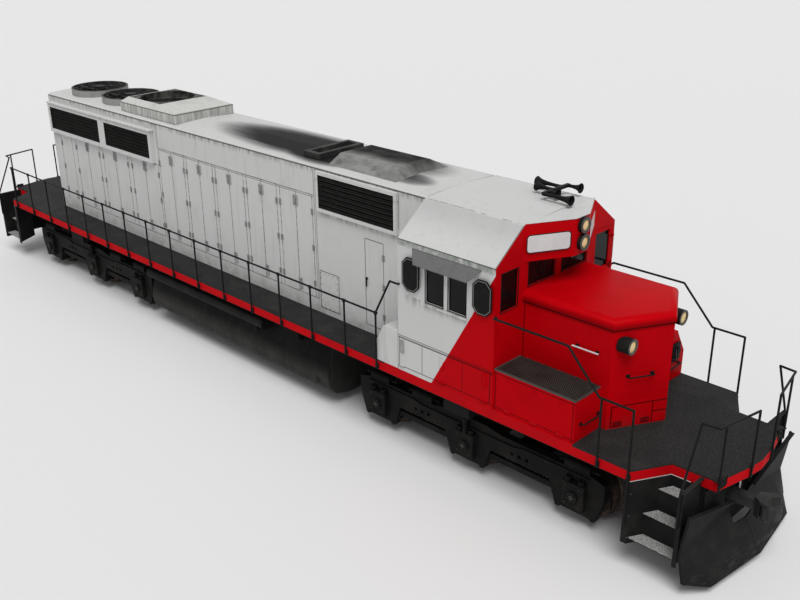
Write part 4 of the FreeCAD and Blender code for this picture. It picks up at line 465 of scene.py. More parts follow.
def hatch_paint(name):
    """Roof hatch, sooty along its middle."""
    finish = Finish(name, 0.5, specular=0.03)
    x, y = finish.axes[:2]
    pale = dirt(finish, (0.27, 0.27, 0.262), (0.08, 0.08, 0.076), 1.1, 6.0)
    blotch = finish.spots(3.5, 6.0, 0.38, 0.62, finish.stretched(0.8, 1.4, 1.0))
    pale = finish.mixed(blotch * 0.5, pale, (0.14, 0.14, 0.135))
    soot = finish.ramp(abs(y - 0.20), 0.60, 0.18) * finish.ramp(x, 3.85, 3.45, 0.35, 1.0) \
        * finish.spots(2.0, 5.0, 0.1, 0.45, finish.stretched(0.5, 2.0, 1.0))
    return finish.done(finish.mixed(soot * 0.96, pale, SOOT), 0.5 + blotch * 0.2,
                       finish.noise(8.0, 3.0), 0.003)


def glass(name):
    """Dark cab glass."""
    finish = Finish(name, 0.08, specular=0.15)
    film = finish.spots(2.5, 4.0, 0.45, 0.75)
    finish.shader.inputs["Alpha"].default_value = 0.985
    return finish.done(finish.mixed(film, (0.002, 0.0022, 0.0025), (0.006, 0.0065, 0.007)),
                       0.10 + film * 0.12)


def lens(name):
    """Warm lamp lens with a reflector behind it."""
    finish = Finish(name, 0.12, coat=0.6)
    rings = finish.add("TexWave", {"wave_type": "BANDS", "bands_direction": "Y"}, {
        "Vector": finish.place, "Scale": 14.0, "Distortion": 1.5})
    colour = finish.mixed(rings, (0.66, 0.42, 0.12), (0.80, 0.66, 0.38))
    finish.feed(finish.shader.inputs["Emission Color"], colour)
    finish.shader.inputs["Emission Strength"].default_value = 0.12
    return finish.done(colour)


def board(name):
    """Blank number boards: a pale plate with round corners in a black rim."""
    finish = Finish(name, 0.3)
    x, y, z = finish.axes
    pale = finish.mixed(finish.spots(6.0, 4.0, 0.3, 0.8) * 0.3, grey(0.66), (0.48, 0.48, 0.47))
    ahead = x > 0.0
    along = ((x - CAB_FRONT) * 0.390 + (0.870 - abs(y)) * 0.715) / 0.8144 - 0.3746
    across = abs(along * ahead + (abs(y) - 0.4625) * (1.0 - ahead))
    up = abs(z - (4.0225 + ahead * 0.040))
    wide = (across - (0.145 + ahead * 0.145)).math("MAXIMUM", 0.0)
    tall = (up - (0.042 + ahead * 0.038)).math("MAXIMUM", 0.0)
    reach = (wide * wide + tall * tall).math("SQRT")
    plate = finish.mixed(reach > 0.0480, pale, grey(0.01))
    return finish.done(finish.mixed(reach > 0.0655, plate, finish.mixed(ahead, WHITE, RED)),
                       0.28 + finish.noise(18.0) * 0.12)


def tread_plate(name):
    """Plate with raised lozenges and a worn edge."""
    finish = Finish(name, 0.45, metallic=0.3)
    x, y = finish.axes[:2]
    base, pitch = (0.011, 0.013, 0.012), 84.0
    bars = ((x + y) * pitch).math("SINE") * ((x - y) * pitch).math("SINE")
    lift = finish.ramp(abs(bars), 0.45, 0.8)
    plate = finish.mixed(lift, base, (0.085, 0.095, 0.088))
    plate = finish.mixed(finish.spots(3.0, 5.0, 0.4, 0.7) * 0.5, plate, base)
    edge = either(x < 6.653, x > 8.055, y < -1.460)
    colour = finish.mixed(edge * 0.8, plate, (0.080, 0.090, 0.083))
    return finish.done(colour, None, lift, 0.003, 0.9)


def wheel_steel(name):
    """Wheel steel with rust and brake dust."""
    finish = Finish(name, 0.5, metallic=0.5)
    rust = finish.mixed(finish.spots(6.0, 5.0, 0.35, 0.7), (0.035, 0.03, 0.028), (0.10, 0.07, 0.05))
    return finish.done(rust, 0.42 + finish.noise(12.0) * 0.25, finish.noise(30.0))


def grille_dark(name):
    """Sooty louvres in a pale frame."""
    finish = Finish(name, 0.6)
    x, y, z = finish.axes
    black = finish.mixed(finish.noise(8.0), grey(0.006), (0.03, 0.03, 0.028))
    pale = dirt(finish, WHITE, GRIME, 0.3, 12.0)
    pale = finish.mixed(drips(finish, 4.05, 4.185, 0.1) * 0.4, pale, MOSS)
    back = (within(x, -7.453, -5.249) + within(x, -5.001, -3.217)) * within(z, 3.573, 4.089)
    ahead = within(x, 2.138, 3.996) * within(z, 3.648, 4.252)
    deep = either(back * (abs(y) < 0.9375), ahead * (abs(y) < 0.9075))
    return finish.done(finish.mixed(deep, pale, black), 0.5 + finish.noise(20.0) * 0.2,
                       finish.noise(30.0, 3.0))


def box_paint(name):
    """Red boxes beside the nose and the white step box behind the cab."""
    finish = Finish(name, 0.38, specular=0.02)
    x, y, z = finish.axes
    white = dirt(finish, WHITE, GRIME, 0.35)
    white = finish.mixed(finish.line(x, 4.66, 0.012, 0.01) * 0.5, white, GRIME)
    seam = either(finish.line(z, 2.222, 0.006, 0.005) * (abs(y) > 1.47),
                  finish.line(z, 1.655, 0.006, 0.005) * (abs(y) > 1.47),
                  finish.line(x, 8.045, 0.007, 0.005), finish.line(x, 6.66, 0.008, 0.006))
    red = finish.mixed(seam * 0.7, worn_red(finish), RED_SEAM)
    return finish.done(finish.mixed(x > 5.5, white, red), 0.35 + finish.noise(25.0, 2.0) * 0.14,
                       finish.noise(2.5, 2.0) - seam, 0.005, 0.4)


def fitting_paint(name):
    """Grey sunshades and black wind wings."""
    finish = Finish(name, 0.5)
    y, z = finish.axes[1:]
    spots = finish.spots(9.0, 4.0, 0.4, 0.7)
    shade = finish.mixed(spots * 0.4, grey(0.15), (0.11, 0.11, 0.108))
    wing = finish.mixed(spots, grey(0.005), (0.010, 0.010, 0.009))
    colour = finish.mixed((z < 3.66) * (abs(y) < 1.5575), shade, wing)
    return finish.done(colour, 0.42 + spots * 0.15, finish.noise(30.0, 2.0), 0.001)


def plain_paint(name, base, worn, roughness=0.45, metallic=0.0):
    """Paint or bare metal of small fittings, worn in spots."""
    finish = Finish(name, roughness, metallic=metallic)
    spots = finish.spots(18.0, 4.0, 0.42, 0.7)
    return finish.done(finish.mixed(spots * 0.5, base, worn), roughness - 0.08 + spots * 0.18,
                       finish.noise(45.0, 2.0), 0.001)


finishes = {
    "hood_shell": white_paint("hood_white", True),
    "hood_doors": white_paint("door_white", False),
    "cab_shell": cab_paint("cab_colours"),
    "underframe": deck_paint("deck_and_sill"),
    "nose": red_paint("nose_red"),
    "side_boxes": box_paint("box_colours"),
    "plow": plow_paint("plow_black"),
    "fuel_tank": tank_paint("tank_black"),
    "fan_shrouds": fan_paint("shroud_paint"),
    "brake_housing": brake_paint("brake_housing_paint"),
    "roof_hatch": hatch_paint("hatch_paint"),
    "side_grilles": grille_dark("grille_paint"),
    "exhaust_stack": black_paint("stack_soot", grey(0.02), (0.12, 0.115, 0.11), 0.6),
    "number_boards": board("board_white"),
    "window_fittings": fitting_paint("fitting_paint"),
    "lamp_lenses": lens("lamp_lens"),
    "engine": black_paint("engine_grey", (0.12, 0.13, 0.13)),
    "cab_fittings": black_paint("seat_dark", (0.03, 0.03, 0.035)),
    "box_lid_right": tread_plate("lid_tread"),
    "cab_door_rear": plain_paint("trim_white", WHITE, (0.45, 0.45, 0.43)),
}
tank_black = finishes["fuel_tank"]
cab_colours = finishes["cab_shell"]
white = finishes["cab_door_rear"]
red = finishes["nose"]
for name in ("box_lid_left", "cab_door_front"):
    finishes[name] = red
black = black_paint("frame_black")
cast = black_paint("cast_black", grey(0.007), (0.030, 0.027, 0.024), 0.6)
coupler_steel = black_paint("coupler_steel", grey(0.034), (0.085, 0.082, 0.078), 0.7)
rail_black = black_paint("rail_black", grey(0.010), (0.022, 0.022, 0.021), 0.4, 0.5)
families = {
    "handrail": rail_black, "bogie": cast, "running": cast, "coupler": coupler_steel,
    "knuckle": coupler_steel, "pilot": step_plates("step_steel"),
    "wheelset": wheel_steel("wheel_steel"),
}
cab_glass = glass("cab_glass")
shade_grey = plain_paint("shade_grey", grey(0.16), (0.11, 0.11, 0.108), 0.5)
latch_grey = plain_paint("latch_grey", (0.36, 0.36, 0.355), (0.20, 0.20, 0.195), 0.5)
hinge_grey = plain_paint("hinge_grey", (0.26, 0.26, 0.255), (0.12, 0.12, 0.115), 0.55)
lever_grey = plain_paint("lever_grey", (0.10, 0.10, 0.098), (0.05, 0.05, 0.048), 0.5)
rubber = plain_paint("rubber_black", grey(0.006), (0.014, 0.014, 0.013), 0.6)
silver = plain_paint("handle_silver", grey(0.62), (0.35, 0.35, 0.34), 0.35, 0.4)
bolt_steel = plain_paint("bolt_steel", (0.050, 0.048, 0.045), (0.020, 0.018, 0.016), 0.5, 0.3)
for name, node in nodes.items():
    kin = name.split("_")[0]
    paint = cab_glass if "glass" in name else families.get(kin) or finishes.get(name, black)
    node.data.materials.clear()
    node.data.materials.append(paint)


def deselect():
    for thing in bpy.context.selected_objects:
        thing.select_set(False)


def only(piece):
    """Make one piece the active and only chosen one."""
    deselect()
    piece.select_set(True)
    bpy.context.view_layer.objects.active = piece


def editing(piece, kind="FACE"):
    """Make one piece active with nothing in its mesh chosen."""
    bpy.context.view_layer.objects.active = piece
    bpy.context.tool_settings.mesh_select_mode = (kind == "VERT", kind == "EDGE", kind == "FACE")
    bpy.ops.object.mode_set(mode="EDIT")
    bpy.ops.mesh.select_all(action="DESELECT")
    bpy.ops.object.mode_set(mode="OBJECT")


def choose(piece, ahead=None):
    """Choose the faces that look one way, or all of them, and enter edit mode."""
    editing(piece)
    for face in piece.data.polygons:
        face.select = ahead is None or face.normal.dot(Vector(ahead)) > 0.9
    bpy.ops.object.mode_set(mode="EDIT")


def leave():
    bpy.ops.object.mode_set(mode="OBJECT")
    return bpy.context.active_object


def settle(piece):
    """Bring the origin to the frame's origin, unturned and unscaled."""
    only(piece)
    bpy.ops.object.transform_apply(location=True, rotation=True, scale=True)
    return piece


def modified(piece, kind, **settings):
    """Apply one modifier to a piece."""
    bpy.context.view_layer.objects.active = piece
    step = piece.modifiers.new("step", kind)
    for key, value in settings.items():
        setattr(step, key, value)
    bpy.ops.object.modifier_apply(modifier=step.name)
    return piece


def rounded(piece, width, segments=2):
    """Round every edge a little."""
    return modified(piece, "BEVEL", width=width, segments=segments, limit_method="ANGLE",
                    angle_limit=math.radians(35))


def block(corner, other, bevel=0.004, segments=2):
    """A box between two opposite corners, with rounded edges."""
    deselect()
    middle = [(a + b) / 2 for a, b in zip(corner, other)]
    size = [abs(b - a) for a, b in zip(corner, other)]
    bpy.ops.mesh.primitive_cube_add(size=1, location=middle, scale=size)
    return rounded(settle(bpy.context.active_object), bevel, segments)


def dished(piece, ahead, rim, depth):
    """Sink the middle of the side that looks ahead."""
    choose(piece, ahead)
    bpy.ops.mesh.inset(thickness=rim, depth=0.0)
    bpy.ops.mesh.inset(thickness=rim * 0.25, depth=depth)
    return leave()


def round_bar(start, end, radius, sides=12, rim=0.0):
    """A round bar between two points, with its end rims bevelled."""
    deselect()
    start, end = Vector(start), Vector(end)
    bpy.ops.mesh.primitive_cylinder_add(
        vertices=sides, radius=radius, depth=(end - start).length, location=(start + end) / 2,
        rotation=(end - start).to_track_quat("Z", "Y").to_euler())
    return rounded(settle(bpy.context.active_object), rim or radius * 0.18, 1)


def pipe(points, radius, closed=False, sides=2):
    """A bent pipe through points."""
    deselect()
    bpy.ops.curve.primitive_nurbs_path_add(location=(0, 0, 0))
    piece = bpy.context.active_object
    piece.data.splines.clear()
    spline = piece.data.splines.new("POLY")
    spline.points.add(len(points) - 1)
    for slot, place in zip(spline.points, points):
        slot.co = tuple(place) + (1.0,)
    spline.use_cyclic_u = closed
    piece.data.dimensions = "3D"
    piece.data.bevel_depth = radius
    piece.data.bevel_resolution = sides
    piece.data.use_fill_caps = not closed
    bpy.ops.object.convert(target="MESH")
    return settle(bpy.context.active_object)


def loop_bar(points, radius, reach=0.03):
    """A pipe through points, with every inner corner turned into a short arc."""
    path = [Vector(points[0])]
    for before, corner, after in zip(points, points[1:], points[2:]):
        before, corner, after = Vector(before), Vector(corner), Vector(after)
        first = corner + (before - corner).normalized() * reach
        last = corner + (after - corner).normalized() * reach
        for share in (0.0, 0.25, 0.5, 0.75, 1.0):
            rest = 1 - share
            path.append(first * rest ** 2 + corner * 2 * share * rest + last * share ** 2)
    return pipe(path + [Vector(points[-1])], radius)


def placed(piece, centre, ahead):
    """Stand a piece drawn flat so that its face looks ahead and its Y points up."""
    ahead = Vector(ahead).normalized()
    right = Vector((0, 0, 1)).cross(ahead).normalized()
    turn = Matrix((right, ahead.cross(right), ahead)).transposed().to_4x4()
    piece.data.transform(Matrix.Translation(centre) @ turn)
    return piece


def bordered(piece, border, depth, rim, corner=0.0):
    """Cut out the middle of a flat piece and give the border depth."""
    choose(piece)
    if corner:
        bpy.ops.mesh.bevel(offset=corner, segments=1 if corner > 0.06 else 4, affect="VERTICES")
        bpy.ops.mesh.select_all(action="SELECT")
    bpy.ops.mesh.inset(thickness=border, depth=0.0)
    bpy.ops.mesh.delete(type="FACE")
    leave()
    return rounded(modified(piece, "SOLIDIFY", thickness=depth, offset=1.0), rim, 1)


def ring(centre, ahead, outer, inner, depth, rim=0.003):
    """A flat round ring that faces a direction."""
    deselect()
    bpy.ops.mesh.primitive_circle_add(
        vertices=32, radius=outer, fill_type="NGON", location=centre,
        rotation=Vector(ahead).to_track_quat("Z", "Y").to_euler())
    return bordered(settle(bpy.context.active_object), outer - inner, depth, rim)


def frame_ring(centre, ahead, width, height, border, depth, corner, rim=0.002):
    """A flat frame round a rectangle that faces a direction."""
    deselect()
    bpy.ops.mesh.primitive_plane_add(size=1)
    piece = bpy.context.active_object
    piece.scale = (width, height, 1)
    return placed(bordered(settle(piece), border, depth, rim, corner), centre, ahead)


def gasket(centre, ahead, width, height):
    """The rubber round a window."""
    return frame_ring(centre, ahead, width, height, 0.014, 0.006, 0.012)


def moved(piece, offset):
    for vertex in piece.data.vertices:
        vertex.co += Vector(offset)
    return piece


def twin(piece):
    """Another piece with its own mesh."""
    other = piece.copy()
    other.data = piece.data.copy()
    bpy.context.scene.collection.objects.link(other)
    return other


def mirrored(piece):
    """A copy on the other side, normals outward."""
    other = twin(piece)
    for vertex in other.data.vertices:
        vertex.co.y = -vertex.co.y
    other.data.flip_normals()
    return other


def together(pieces):
    """Join pieces into the first."""
    only(pieces[0])
    for piece in pieces[1:]:
        piece.select_set(True)
    if len(pieces) > 1:
        bpy.ops.object.join()
    return bpy.context.view_layer.objects.active


def copies(piece, offsets):
    """The piece repeated at offsets, itself used for the first."""
    made = [moved(twin(piece), offset) for offset in offsets[1:]]
    return [moved(piece, offsets[0])] + made


def both(pieces):
    """The pieces and their likeness on the other side."""
    return pieces + [mirrored(piece) for piece in pieces]


def fit(pieces, name, paint, body="carbody", angle=35):
    """Join pieces, name and paint them, smooth them and let them ride on their body."""
    piece = together(pieces)
    piece.name = name
    piece.data.name = name
    piece.data.materials.clear()
    piece.data.materials.append(paint)
    only(piece)
    bpy.ops.object.shade_smooth_by_angle(angle=math.radians(angle))
    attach(piece, body)
    return piece


def fit_row(piece, offsets, name, paint):
    """Repeat a piece at offsets on both sides and fit the row as one."""
    fit(both(copies(piece, offsets)), name, paint)


def flared(stations, thickness):
    """A bell along +Z: a circle extruded and widened from station to station, then thickened."""
    deselect()
    foot, narrow = stations[0]
    bpy.ops.mesh.primitive_circle_add(vertices=32, radius=narrow, location=(0, 0, foot))
    piece = settle(bpy.context.active_object)
    editing(piece, "EDGE")
    bpy.ops.object.mode_set(mode="EDIT")
    bpy.ops.mesh.select_all(action="SELECT")
    for (low, small), (high, large) in zip(stations, stations[1:]):
        bpy.ops.mesh.extrude_region_move(TRANSFORM_OT_translate={"value": (0, 0, high - low)})
        share = large / small
        bpy.ops.transform.resize(value=(share, share, 1), center_override=(0, 0, high))
    bpy.ops.mesh.select_all(action="SELECT")
    bpy.ops.mesh.normals_make_consistent(inside=False)
    leave()
    return modified(piece, "SOLIDIFY", thickness=thickness)


def dome(centre, ahead, radius, rise):
    """A shallow dome that bulges ahead."""
    deselect()
    bpy.ops.mesh.primitive_uv_sphere_add(segments=32, ring_count=16, radius=radius)
    piece = bpy.context.active_object
    piece.scale = (1, 1, rise / radius)
    settle(piece)
    bpy.ops.object.mode_set(mode="EDIT")
    bpy.ops.mesh.select_all(action="SELECT")
    bpy.ops.mesh.bisect(plane_co=(0, 0, 0), plane_no=(0, 0, 1), clear_inner=True, use_fill=True)
    leave()
    return placed(piece, centre, ahead)


def coil(centre, radius, wire, height, rounds, steps=14):
    """An upright coil spring."""
    count = int(rounds * steps)
    points = []
    for index in range(count + 1):
        angle = 2 * math.pi * index / steps
        points.append((centre[0] + radius * math.cos(angle), centre[1] + radius * math.sin(angle),
                       centre[2] + height * index / count))
    return pipe(points, wire)


def bolts_round(centre, ahead, radius, count, size, proud):
    """A circle of hexagonal bolt heads."""
    ahead = Vector(ahead)
    side = ahead.orthogonal().normalized()
    over = ahead.cross(side)
    made = []
    for index in range(count):
        angle = 2 * math.pi * (index + 0.5) / count
        place = Vector(centre) + side * radius * math.cos(angle) + over * radius * math.sin(angle)
        made.append(round_bar(place, place + ahead * proud, size, 6, size * 0.15))
    return made


def plate(face, low, high, proud, bevel=0.003, segments=1, back=0.0):
    """A plate on the right side between two (x, z) corners, standing off a face."""
    return block((low[0], -face - proud, low[1]), (high[0], -face - back, high[1]), bevel, segments)


def stud(face, x, z, start, end, radius, sides=12, rim=0.0):
    """A short round bar on the right side, between two distances from a face."""
    return round_bar((x, -face - start, z), (x, -face - end, z), radius, sides, rim)


def hinge():
    """Strap hinge of the hood: a plate with four bolts and an upright barrel."""
    barrel = -HOOD_SIDE - 0.012
    return together([plate(HOOD_SIDE, (-0.032, -0.055), (0.032, 0.055), 0.010),
                     round_bar((0, barrel, -0.050), (0, barrel, 0.050), 0.013, 10)]
                    + [stud(HOOD_SIDE, x, z, 0.016, 0.008, 0.007, 6)
                       for x in (-0.021, 0.021) for z in (-0.035, 0.035)])


def low_hinge(face, reach, level, radius):
    """A hinge lying along the foot of a side panel."""
    barrel, half = -face - radius - 0.001, reach - 0.01
    return together([plate(face, (-reach, level - 0.025), (reach, level + 0.025), 0.008),
                     round_bar((-half, barrel, level), (half, barrel, level), radius, 10)])


def hood_hardware():
    """Hinges, latches and lower plates of the hood's service doors."""
    places = [(-7.235, 0, level) for level in LOW_HINGES]
    for row, levels in zip(DOOR_ROWS, (LOW_HINGES, HIGH_HINGES)):
        rear, pitch, width, count = row[:4]
        places += [(rear + pitch * index + edge, 0, level) for index in range(count)
                   for edge in (LEAF_EDGE, width - LEAF_EDGE) for level in levels]
    fit_row(hinge(), places, "hood_hinges", hinge_grey)

    upper = [(x, 0, 3.64) for x in HIGH_LATCHES] + [(x, 0, 3.33) for x in LOW_LATCHES]
    cup = plate(HOOD_SIDE, (-0.065, -0.10), (0.065, 0.10), 0.016, 0.004, 2)
    fit_row(dished(cup, OUT, 0.014, -0.011), upper, "latch_cups", latch_grey)
    bar = plate(HOOD_SIDE, (-0.013, -0.075), (0.013, 0.030), 0.024, 0.004, 2, back=0.012)
    handle = together([stud(HOOD_SIDE, 0, 0.030, 0.022, 0.004, 0.020), bar])
    fit_row(handle, upper, "latch_handles", hinge_grey)

    lower = [(x + 0.04, 0, 0) for x in HIGH_LATCHES + LOW_LATCHES + (-6.86,)]
    dish = plate(HOOD_SIDE, (-0.055, 1.925), (0.055, 2.100), 0.012, 0.004, 2)
    fit_row(dished(dish, OUT, 0.010, -0.006), lower, "latch_plates", latch_grey)
    catch = together([plate(HOOD_SIDE, (-0.045, 2.108), (0.045, 2.142), 0.022, 0.006, 2),
                      stud(HOOD_SIDE, 0, 2.125, 0.026, 0.004, 0.022)])
    fit_row(catch, lower, "lower_latches", hinge_grey)


def cabinet_hardware():
    """Hinges and handle of the cabinet behind the cab, and the bolted panel beside it."""
    places = [(3.694, 0, level) for level in (3.09, 2.55, 2.00)]
    fit_row(hinge(), places, "cabinet_hinges", hinge_grey)
    handle = together([stud(HOOD_SIDE, 3.285, 2.62, 0.030, 0.0, 0.022, 14),
                       plate(HOOD_SIDE, (3.272, 2.47), (3.298, 2.63), 0.034, 0.006, 2, back=0.016)])
    fit(both([handle]), "cabinet_handles", rubber)
    panel = plate(HOOD_SIDE, (2.056, 1.726), (2.534, 2.424), 0.006)
    fit(both([panel]), "bolted_panel", white)
    spots = [(x, 0, z) for x in (2.075, 2.185, 2.295, 2.405, 2.515) for z in (1.745, 2.405)]
    spots += [(x, 0, z) for x in (2.075, 2.515) for z in (1.855, 1.965, 2.075, 2.185, 2.295)]
    bolt = stud(HOOD_SIDE, 0, 0, 0.013, 0.003, 0.012, 8)
    fit_row(bolt, spots, "panel_bolts", hinge_grey)


def roof_rivets():
    """Rivet rows along the break of the hood's roof."""
    spots = [(-7.48 + index * 0.105, -0.790, 4.3755) for index in range(104)]
    dot = round_bar((0, 0, -0.006), (0, 0, 0.005), 0.009, 6)
    fit_row(dot, spots, "roof_rivets", white)


def louvre_slats():
    """Thin slats between the blades of every side grille."""
    made = []
    for rear, front, low, high, face in ((-7.450, -5.252, 3.574, 4.088, 0.947),
                                         (-4.998, -3.220, 3.574, 4.088, 0.947),
                                         (2.141, 3.993, 3.649, 4.251, 0.917)):
        pitch = (high - low) / 7
        for index in range(7):
            level = low + pitch * (index + 0.62)
            slat = plate(face, (rear, level - 0.004), (front, level + 0.004), -0.012, 0.0015,
                         back=-0.060)
            edge = Vector((0, -face + 0.012, level))
            turn = Matrix.Rotation(math.radians(-42), 4, "X")
            slat.data.transform(Matrix.Translation(edge) @ turn @ Matrix.Translation(-edge))
            made.append(slat)
    fit(both(made), "louvre_slats", finishes["side_grilles"])


def cab_trim():
    """Gutters, window gaskets, sills and wipers, and the hardware low on the cab side."""
    strip = plate(CAB_SIDE, (4.70, 3.776), (6.60, 3.850), 0.009)
    rivets = copies(stud(CAB_SIDE, 0, 0, 0.015, 0.007, 0.010, 8),
                    [(4.75 + index * 0.123, 0, 3.813) for index in range(16)])
    fit(both([strip] + rivets), "cab_gutter", cab_colours)

    side = [gasket(((low + high) / 2, -CAB_SIDE, 3.2285), OUT, high - low + 0.020, 0.563)
            for low, high in ((5.261, 5.627), (5.726, 6.081))]
    fit(both(side), "side_window_gaskets", rubber)
    sill = plate(CAB_SIDE, (5.235, 2.905), (6.107, 2.932), 0.032, 0.006, 2)
    fit(both([sill]), "window_sills", cab_colours)

    front = [gasket((CAB_FRONT, across, 3.575), AHEAD, 0.680, 0.430) for across in (-0.415, 0.415)]
    front += [gasket((CAB_FRONT, -1.1805, 3.4365), AHEAD, 0.411, 0.627),
              gasket((CAB_REAR, 1.1805, 3.4365), BEHIND, 0.411, 0.627)]
    fit(front, "windshield_gaskets", rubber)
    blade = together([
        loop_bar([(6.650, 0.60, 3.815), (6.664, 0.52, 3.70), (6.650, 0.40, 3.46)], 0.006),
        block((6.640, 0.385, 3.42), (6.654, 0.400, 3.74), 0.003, 1),
        round_bar((CAB_FRONT, 0.60, 3.815), (6.668, 0.60, 3.815), 0.016)])
    fit(both([blade]), "window_wipers", rubber)

    latch = dished(plate(CAB_SIDE, (-0.0425, 1.92), (0.0425, 2.15), 0.014, 0.004, 2),
                   OUT, 0.010, -0.007)
    fit_row(twin(latch), [(4.76, 0, 0)], "cab_latch_plate", latch_grey)
    fit_row(latch, [(5.61, 0, 0), (6.46, 0, 0)], "cab_latch_plates", cab_colours)
    places = [(x, 0, 0) for x in (4.74, 5.60, 6.46)]
    fit_row(low_hinge(CAB_SIDE, 0.07, 1.68, 0.011), places, "cab_low_hinges", cab_colours)


def wing_rims():
    """Rims of the wind wings, and the folded lip of the sunshades."""
    rims = [frame_ring((middle, -1.556, level), OUT, 0.322, 0.513, 0.008, 0.004, 0.088, 0.001)
            for middle, level in ((4.985, 3.3405), (6.416, 3.3705))]
    fit(both(rims), "wing_rims", hinge_grey)
    lip = loop_bar([(4.995, -1.512, 3.764), (5.142, -1.653, 3.583), (6.208, -1.653, 3.583),
                    (6.355, -1.512, 3.764)], 0.008, 0.02)
    fit(both([lip]), "sunshade_lips", shade_grey)


def lamp_trim():
    """Bezels and domed lenses of the lamps."""
    bezels, domes, bolts = [], [], []
    lamps = [((7.075, 0, level), AHEAD, 0.126, 0.082) for level in LAMP_LEVELS]
    lamps += [((-7.673, 0, level - 0.125), BEHIND, 0.126, 0.082) for level in LAMP_LEVELS]
    lamps += [((8.422, across, 2.947), AHEAD, 0.121, 0.088) for across in (-0.688, 0.688)]
    for place, way, outer, inner in lamps:
        bezels.append(ring(place, way, outer, inner, 0.008))
        domes.append(dome(Vector(place) - Vector(way) * 0.016, way, inner, 0.018))
    for level in LAMP_LEVELS:
        bolts += bolts_round((7.083, 0, level), AHEAD, 0.110, 8, 0.006, 0.006)
    fit(bezels + bolts, "lamp_bezels", lever_grey)
    fit(domes, "lamp_domes", finishes["lamp_lenses"], angle=60)


def horns():
    """Flared trumpets on the horn bar."""
    pieces = [block((6.110, 0.420, 4.395), (6.230, 0.540, 4.500), 0.006),
              block((6.137, 0.142, 4.472), (6.203, 0.818, 4.528), 0.012, 3)]
    stations = ((0.0, 0.022), (0.35, 0.024), (0.6, 0.031), (0.8, 0.044), (0.93, 0.062),
                (1.0, 0.079))
    for across, length, way in ((0.779, 0.23, 1), (0.150, 0.50, 1), (0.293, 0.15, 1),
                                (0.65, 0.47, -1), (0.439, 0.32, -1)):
        start, facing = 6.170 + 0.02 * way, (way, 0, 0)
        bell = flared([(length * share, radius) for share, radius in stations], 0.004)
        pieces.append(placed(bell, (start, across, HORN_LEVEL), facing))
        pieces.append(round_bar((start - 0.03 * way, across, HORN_LEVEL),
                                (start + 0.035 * way, across, HORN_LEVEL), 0.030, 16))
        mouth = (start + way * length, across, HORN_LEVEL)
        pieces.append(ring(mouth, facing, 0.080, 0.070, 0.004, 0.001))
    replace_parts(fit(pieces, "horn_trumpets", rubber), "horn")


def fan_guards():
    """Rings and hubs over the roof fans."""
    angles = [2 * math.pi * index / 48 for index in range(48)]
    fans = [(across, 0.60) for across in RADIATOR_FANS] + [(BRAKE_FAN, 0.54)]
    for number, (across, reach) in enumerate(fans, 1):
        rings = []
        for radius in [reach * share for share in (0.25, 0.45, 0.65, 0.85)]:
            circle = [(across + radius * math.cos(angle), radius * math.sin(angle), 4.541)
                      for angle in angles]
            rings.append(pipe(circle, 0.007, closed=True, sides=1))
        hub = round_bar((across, 0, 4.515), (across, 0, 4.546), 0.13, 32, 0.008)
        fit(rings + [hub], "fan_guard_" + str(number), rubber)


def rail_collars():
    """Stanchion heads where the side rails meet their posts, and the bolts at the posts' feet."""
    posts = [-8.761 + 0.8704 * index for index in range(15)] + [4.184]
    made = []
    for start, end in (((0, -1.541, 2.425), (0, -1.541, 2.462)),
                       ((-0.032, -1.541, 2.465), (0.032, -1.541, 2.465))):
        made += copies(round_bar(start, end, 0.026, 12, 0.006), [(x, 0, 0) for x in posts])
    fit(both(made), "rail_collars", rail_black)
    spots = [(x, 0, level) for x in posts for level in (1.475, 1.520)]
    nut = stud(CAB_SIDE, 0, 0, 0.024, 0.006, 0.014, 6, 0.002)
    fit_row(nut, spots, "post_bolts", rail_black)


def sill_piping():
    """Pipes, conduits and cleats under the side sills."""
    runs = [loop_bar([(x, side * (out - inset), level) for x, inset in (
                (-8.6, 0.0), (3.1, 0.0), (3.3, 0.10), (8.6, 0.10))], radius, 0.05)
            for side in (-1, 1)
            for out, level, radius in ((1.39, 1.395, 0.022), (1.33, 1.390, 0.016))]
    fit(runs, "sill_pipes", tank_black)
    spots = [(-8.2 + 1.1 * index, 0, 0) for index in range(10)]
    cleat = block((-0.02, -1.42, 1.365), (0.02, -1.30, 1.425), 0.005, 1)
    fit_row(cleat, spots, "pipe_cleats", rail_black)


def tank_trim():
    """Fuel filler and its cap, gauge, drain and vent pipe on both sides of the tank."""
    made = [round_bar((1.90, -1.24, 1.20), (1.90, -1.335, 1.24), 0.075, 24, 0.010),
            round_bar((1.90, -1.325, 1.236), (1.90, -1.362, 1.252), 0.060, 8, 0.008),
            block((0.60, -1.345, 0.95), (0.68, -1.310, 1.22), 0.008),
            stud(1.345, 2.40, 0.50, 0.0, 0.033, 0.045, 16, 0.006),
            loop_bar([(1.90, -1.20, 1.38), (1.90, -1.30, 1.34), (1.90, -1.31, 1.22)], 0.02, 0.02)]
    fit(both(made), "tank_fittings", tank_black)


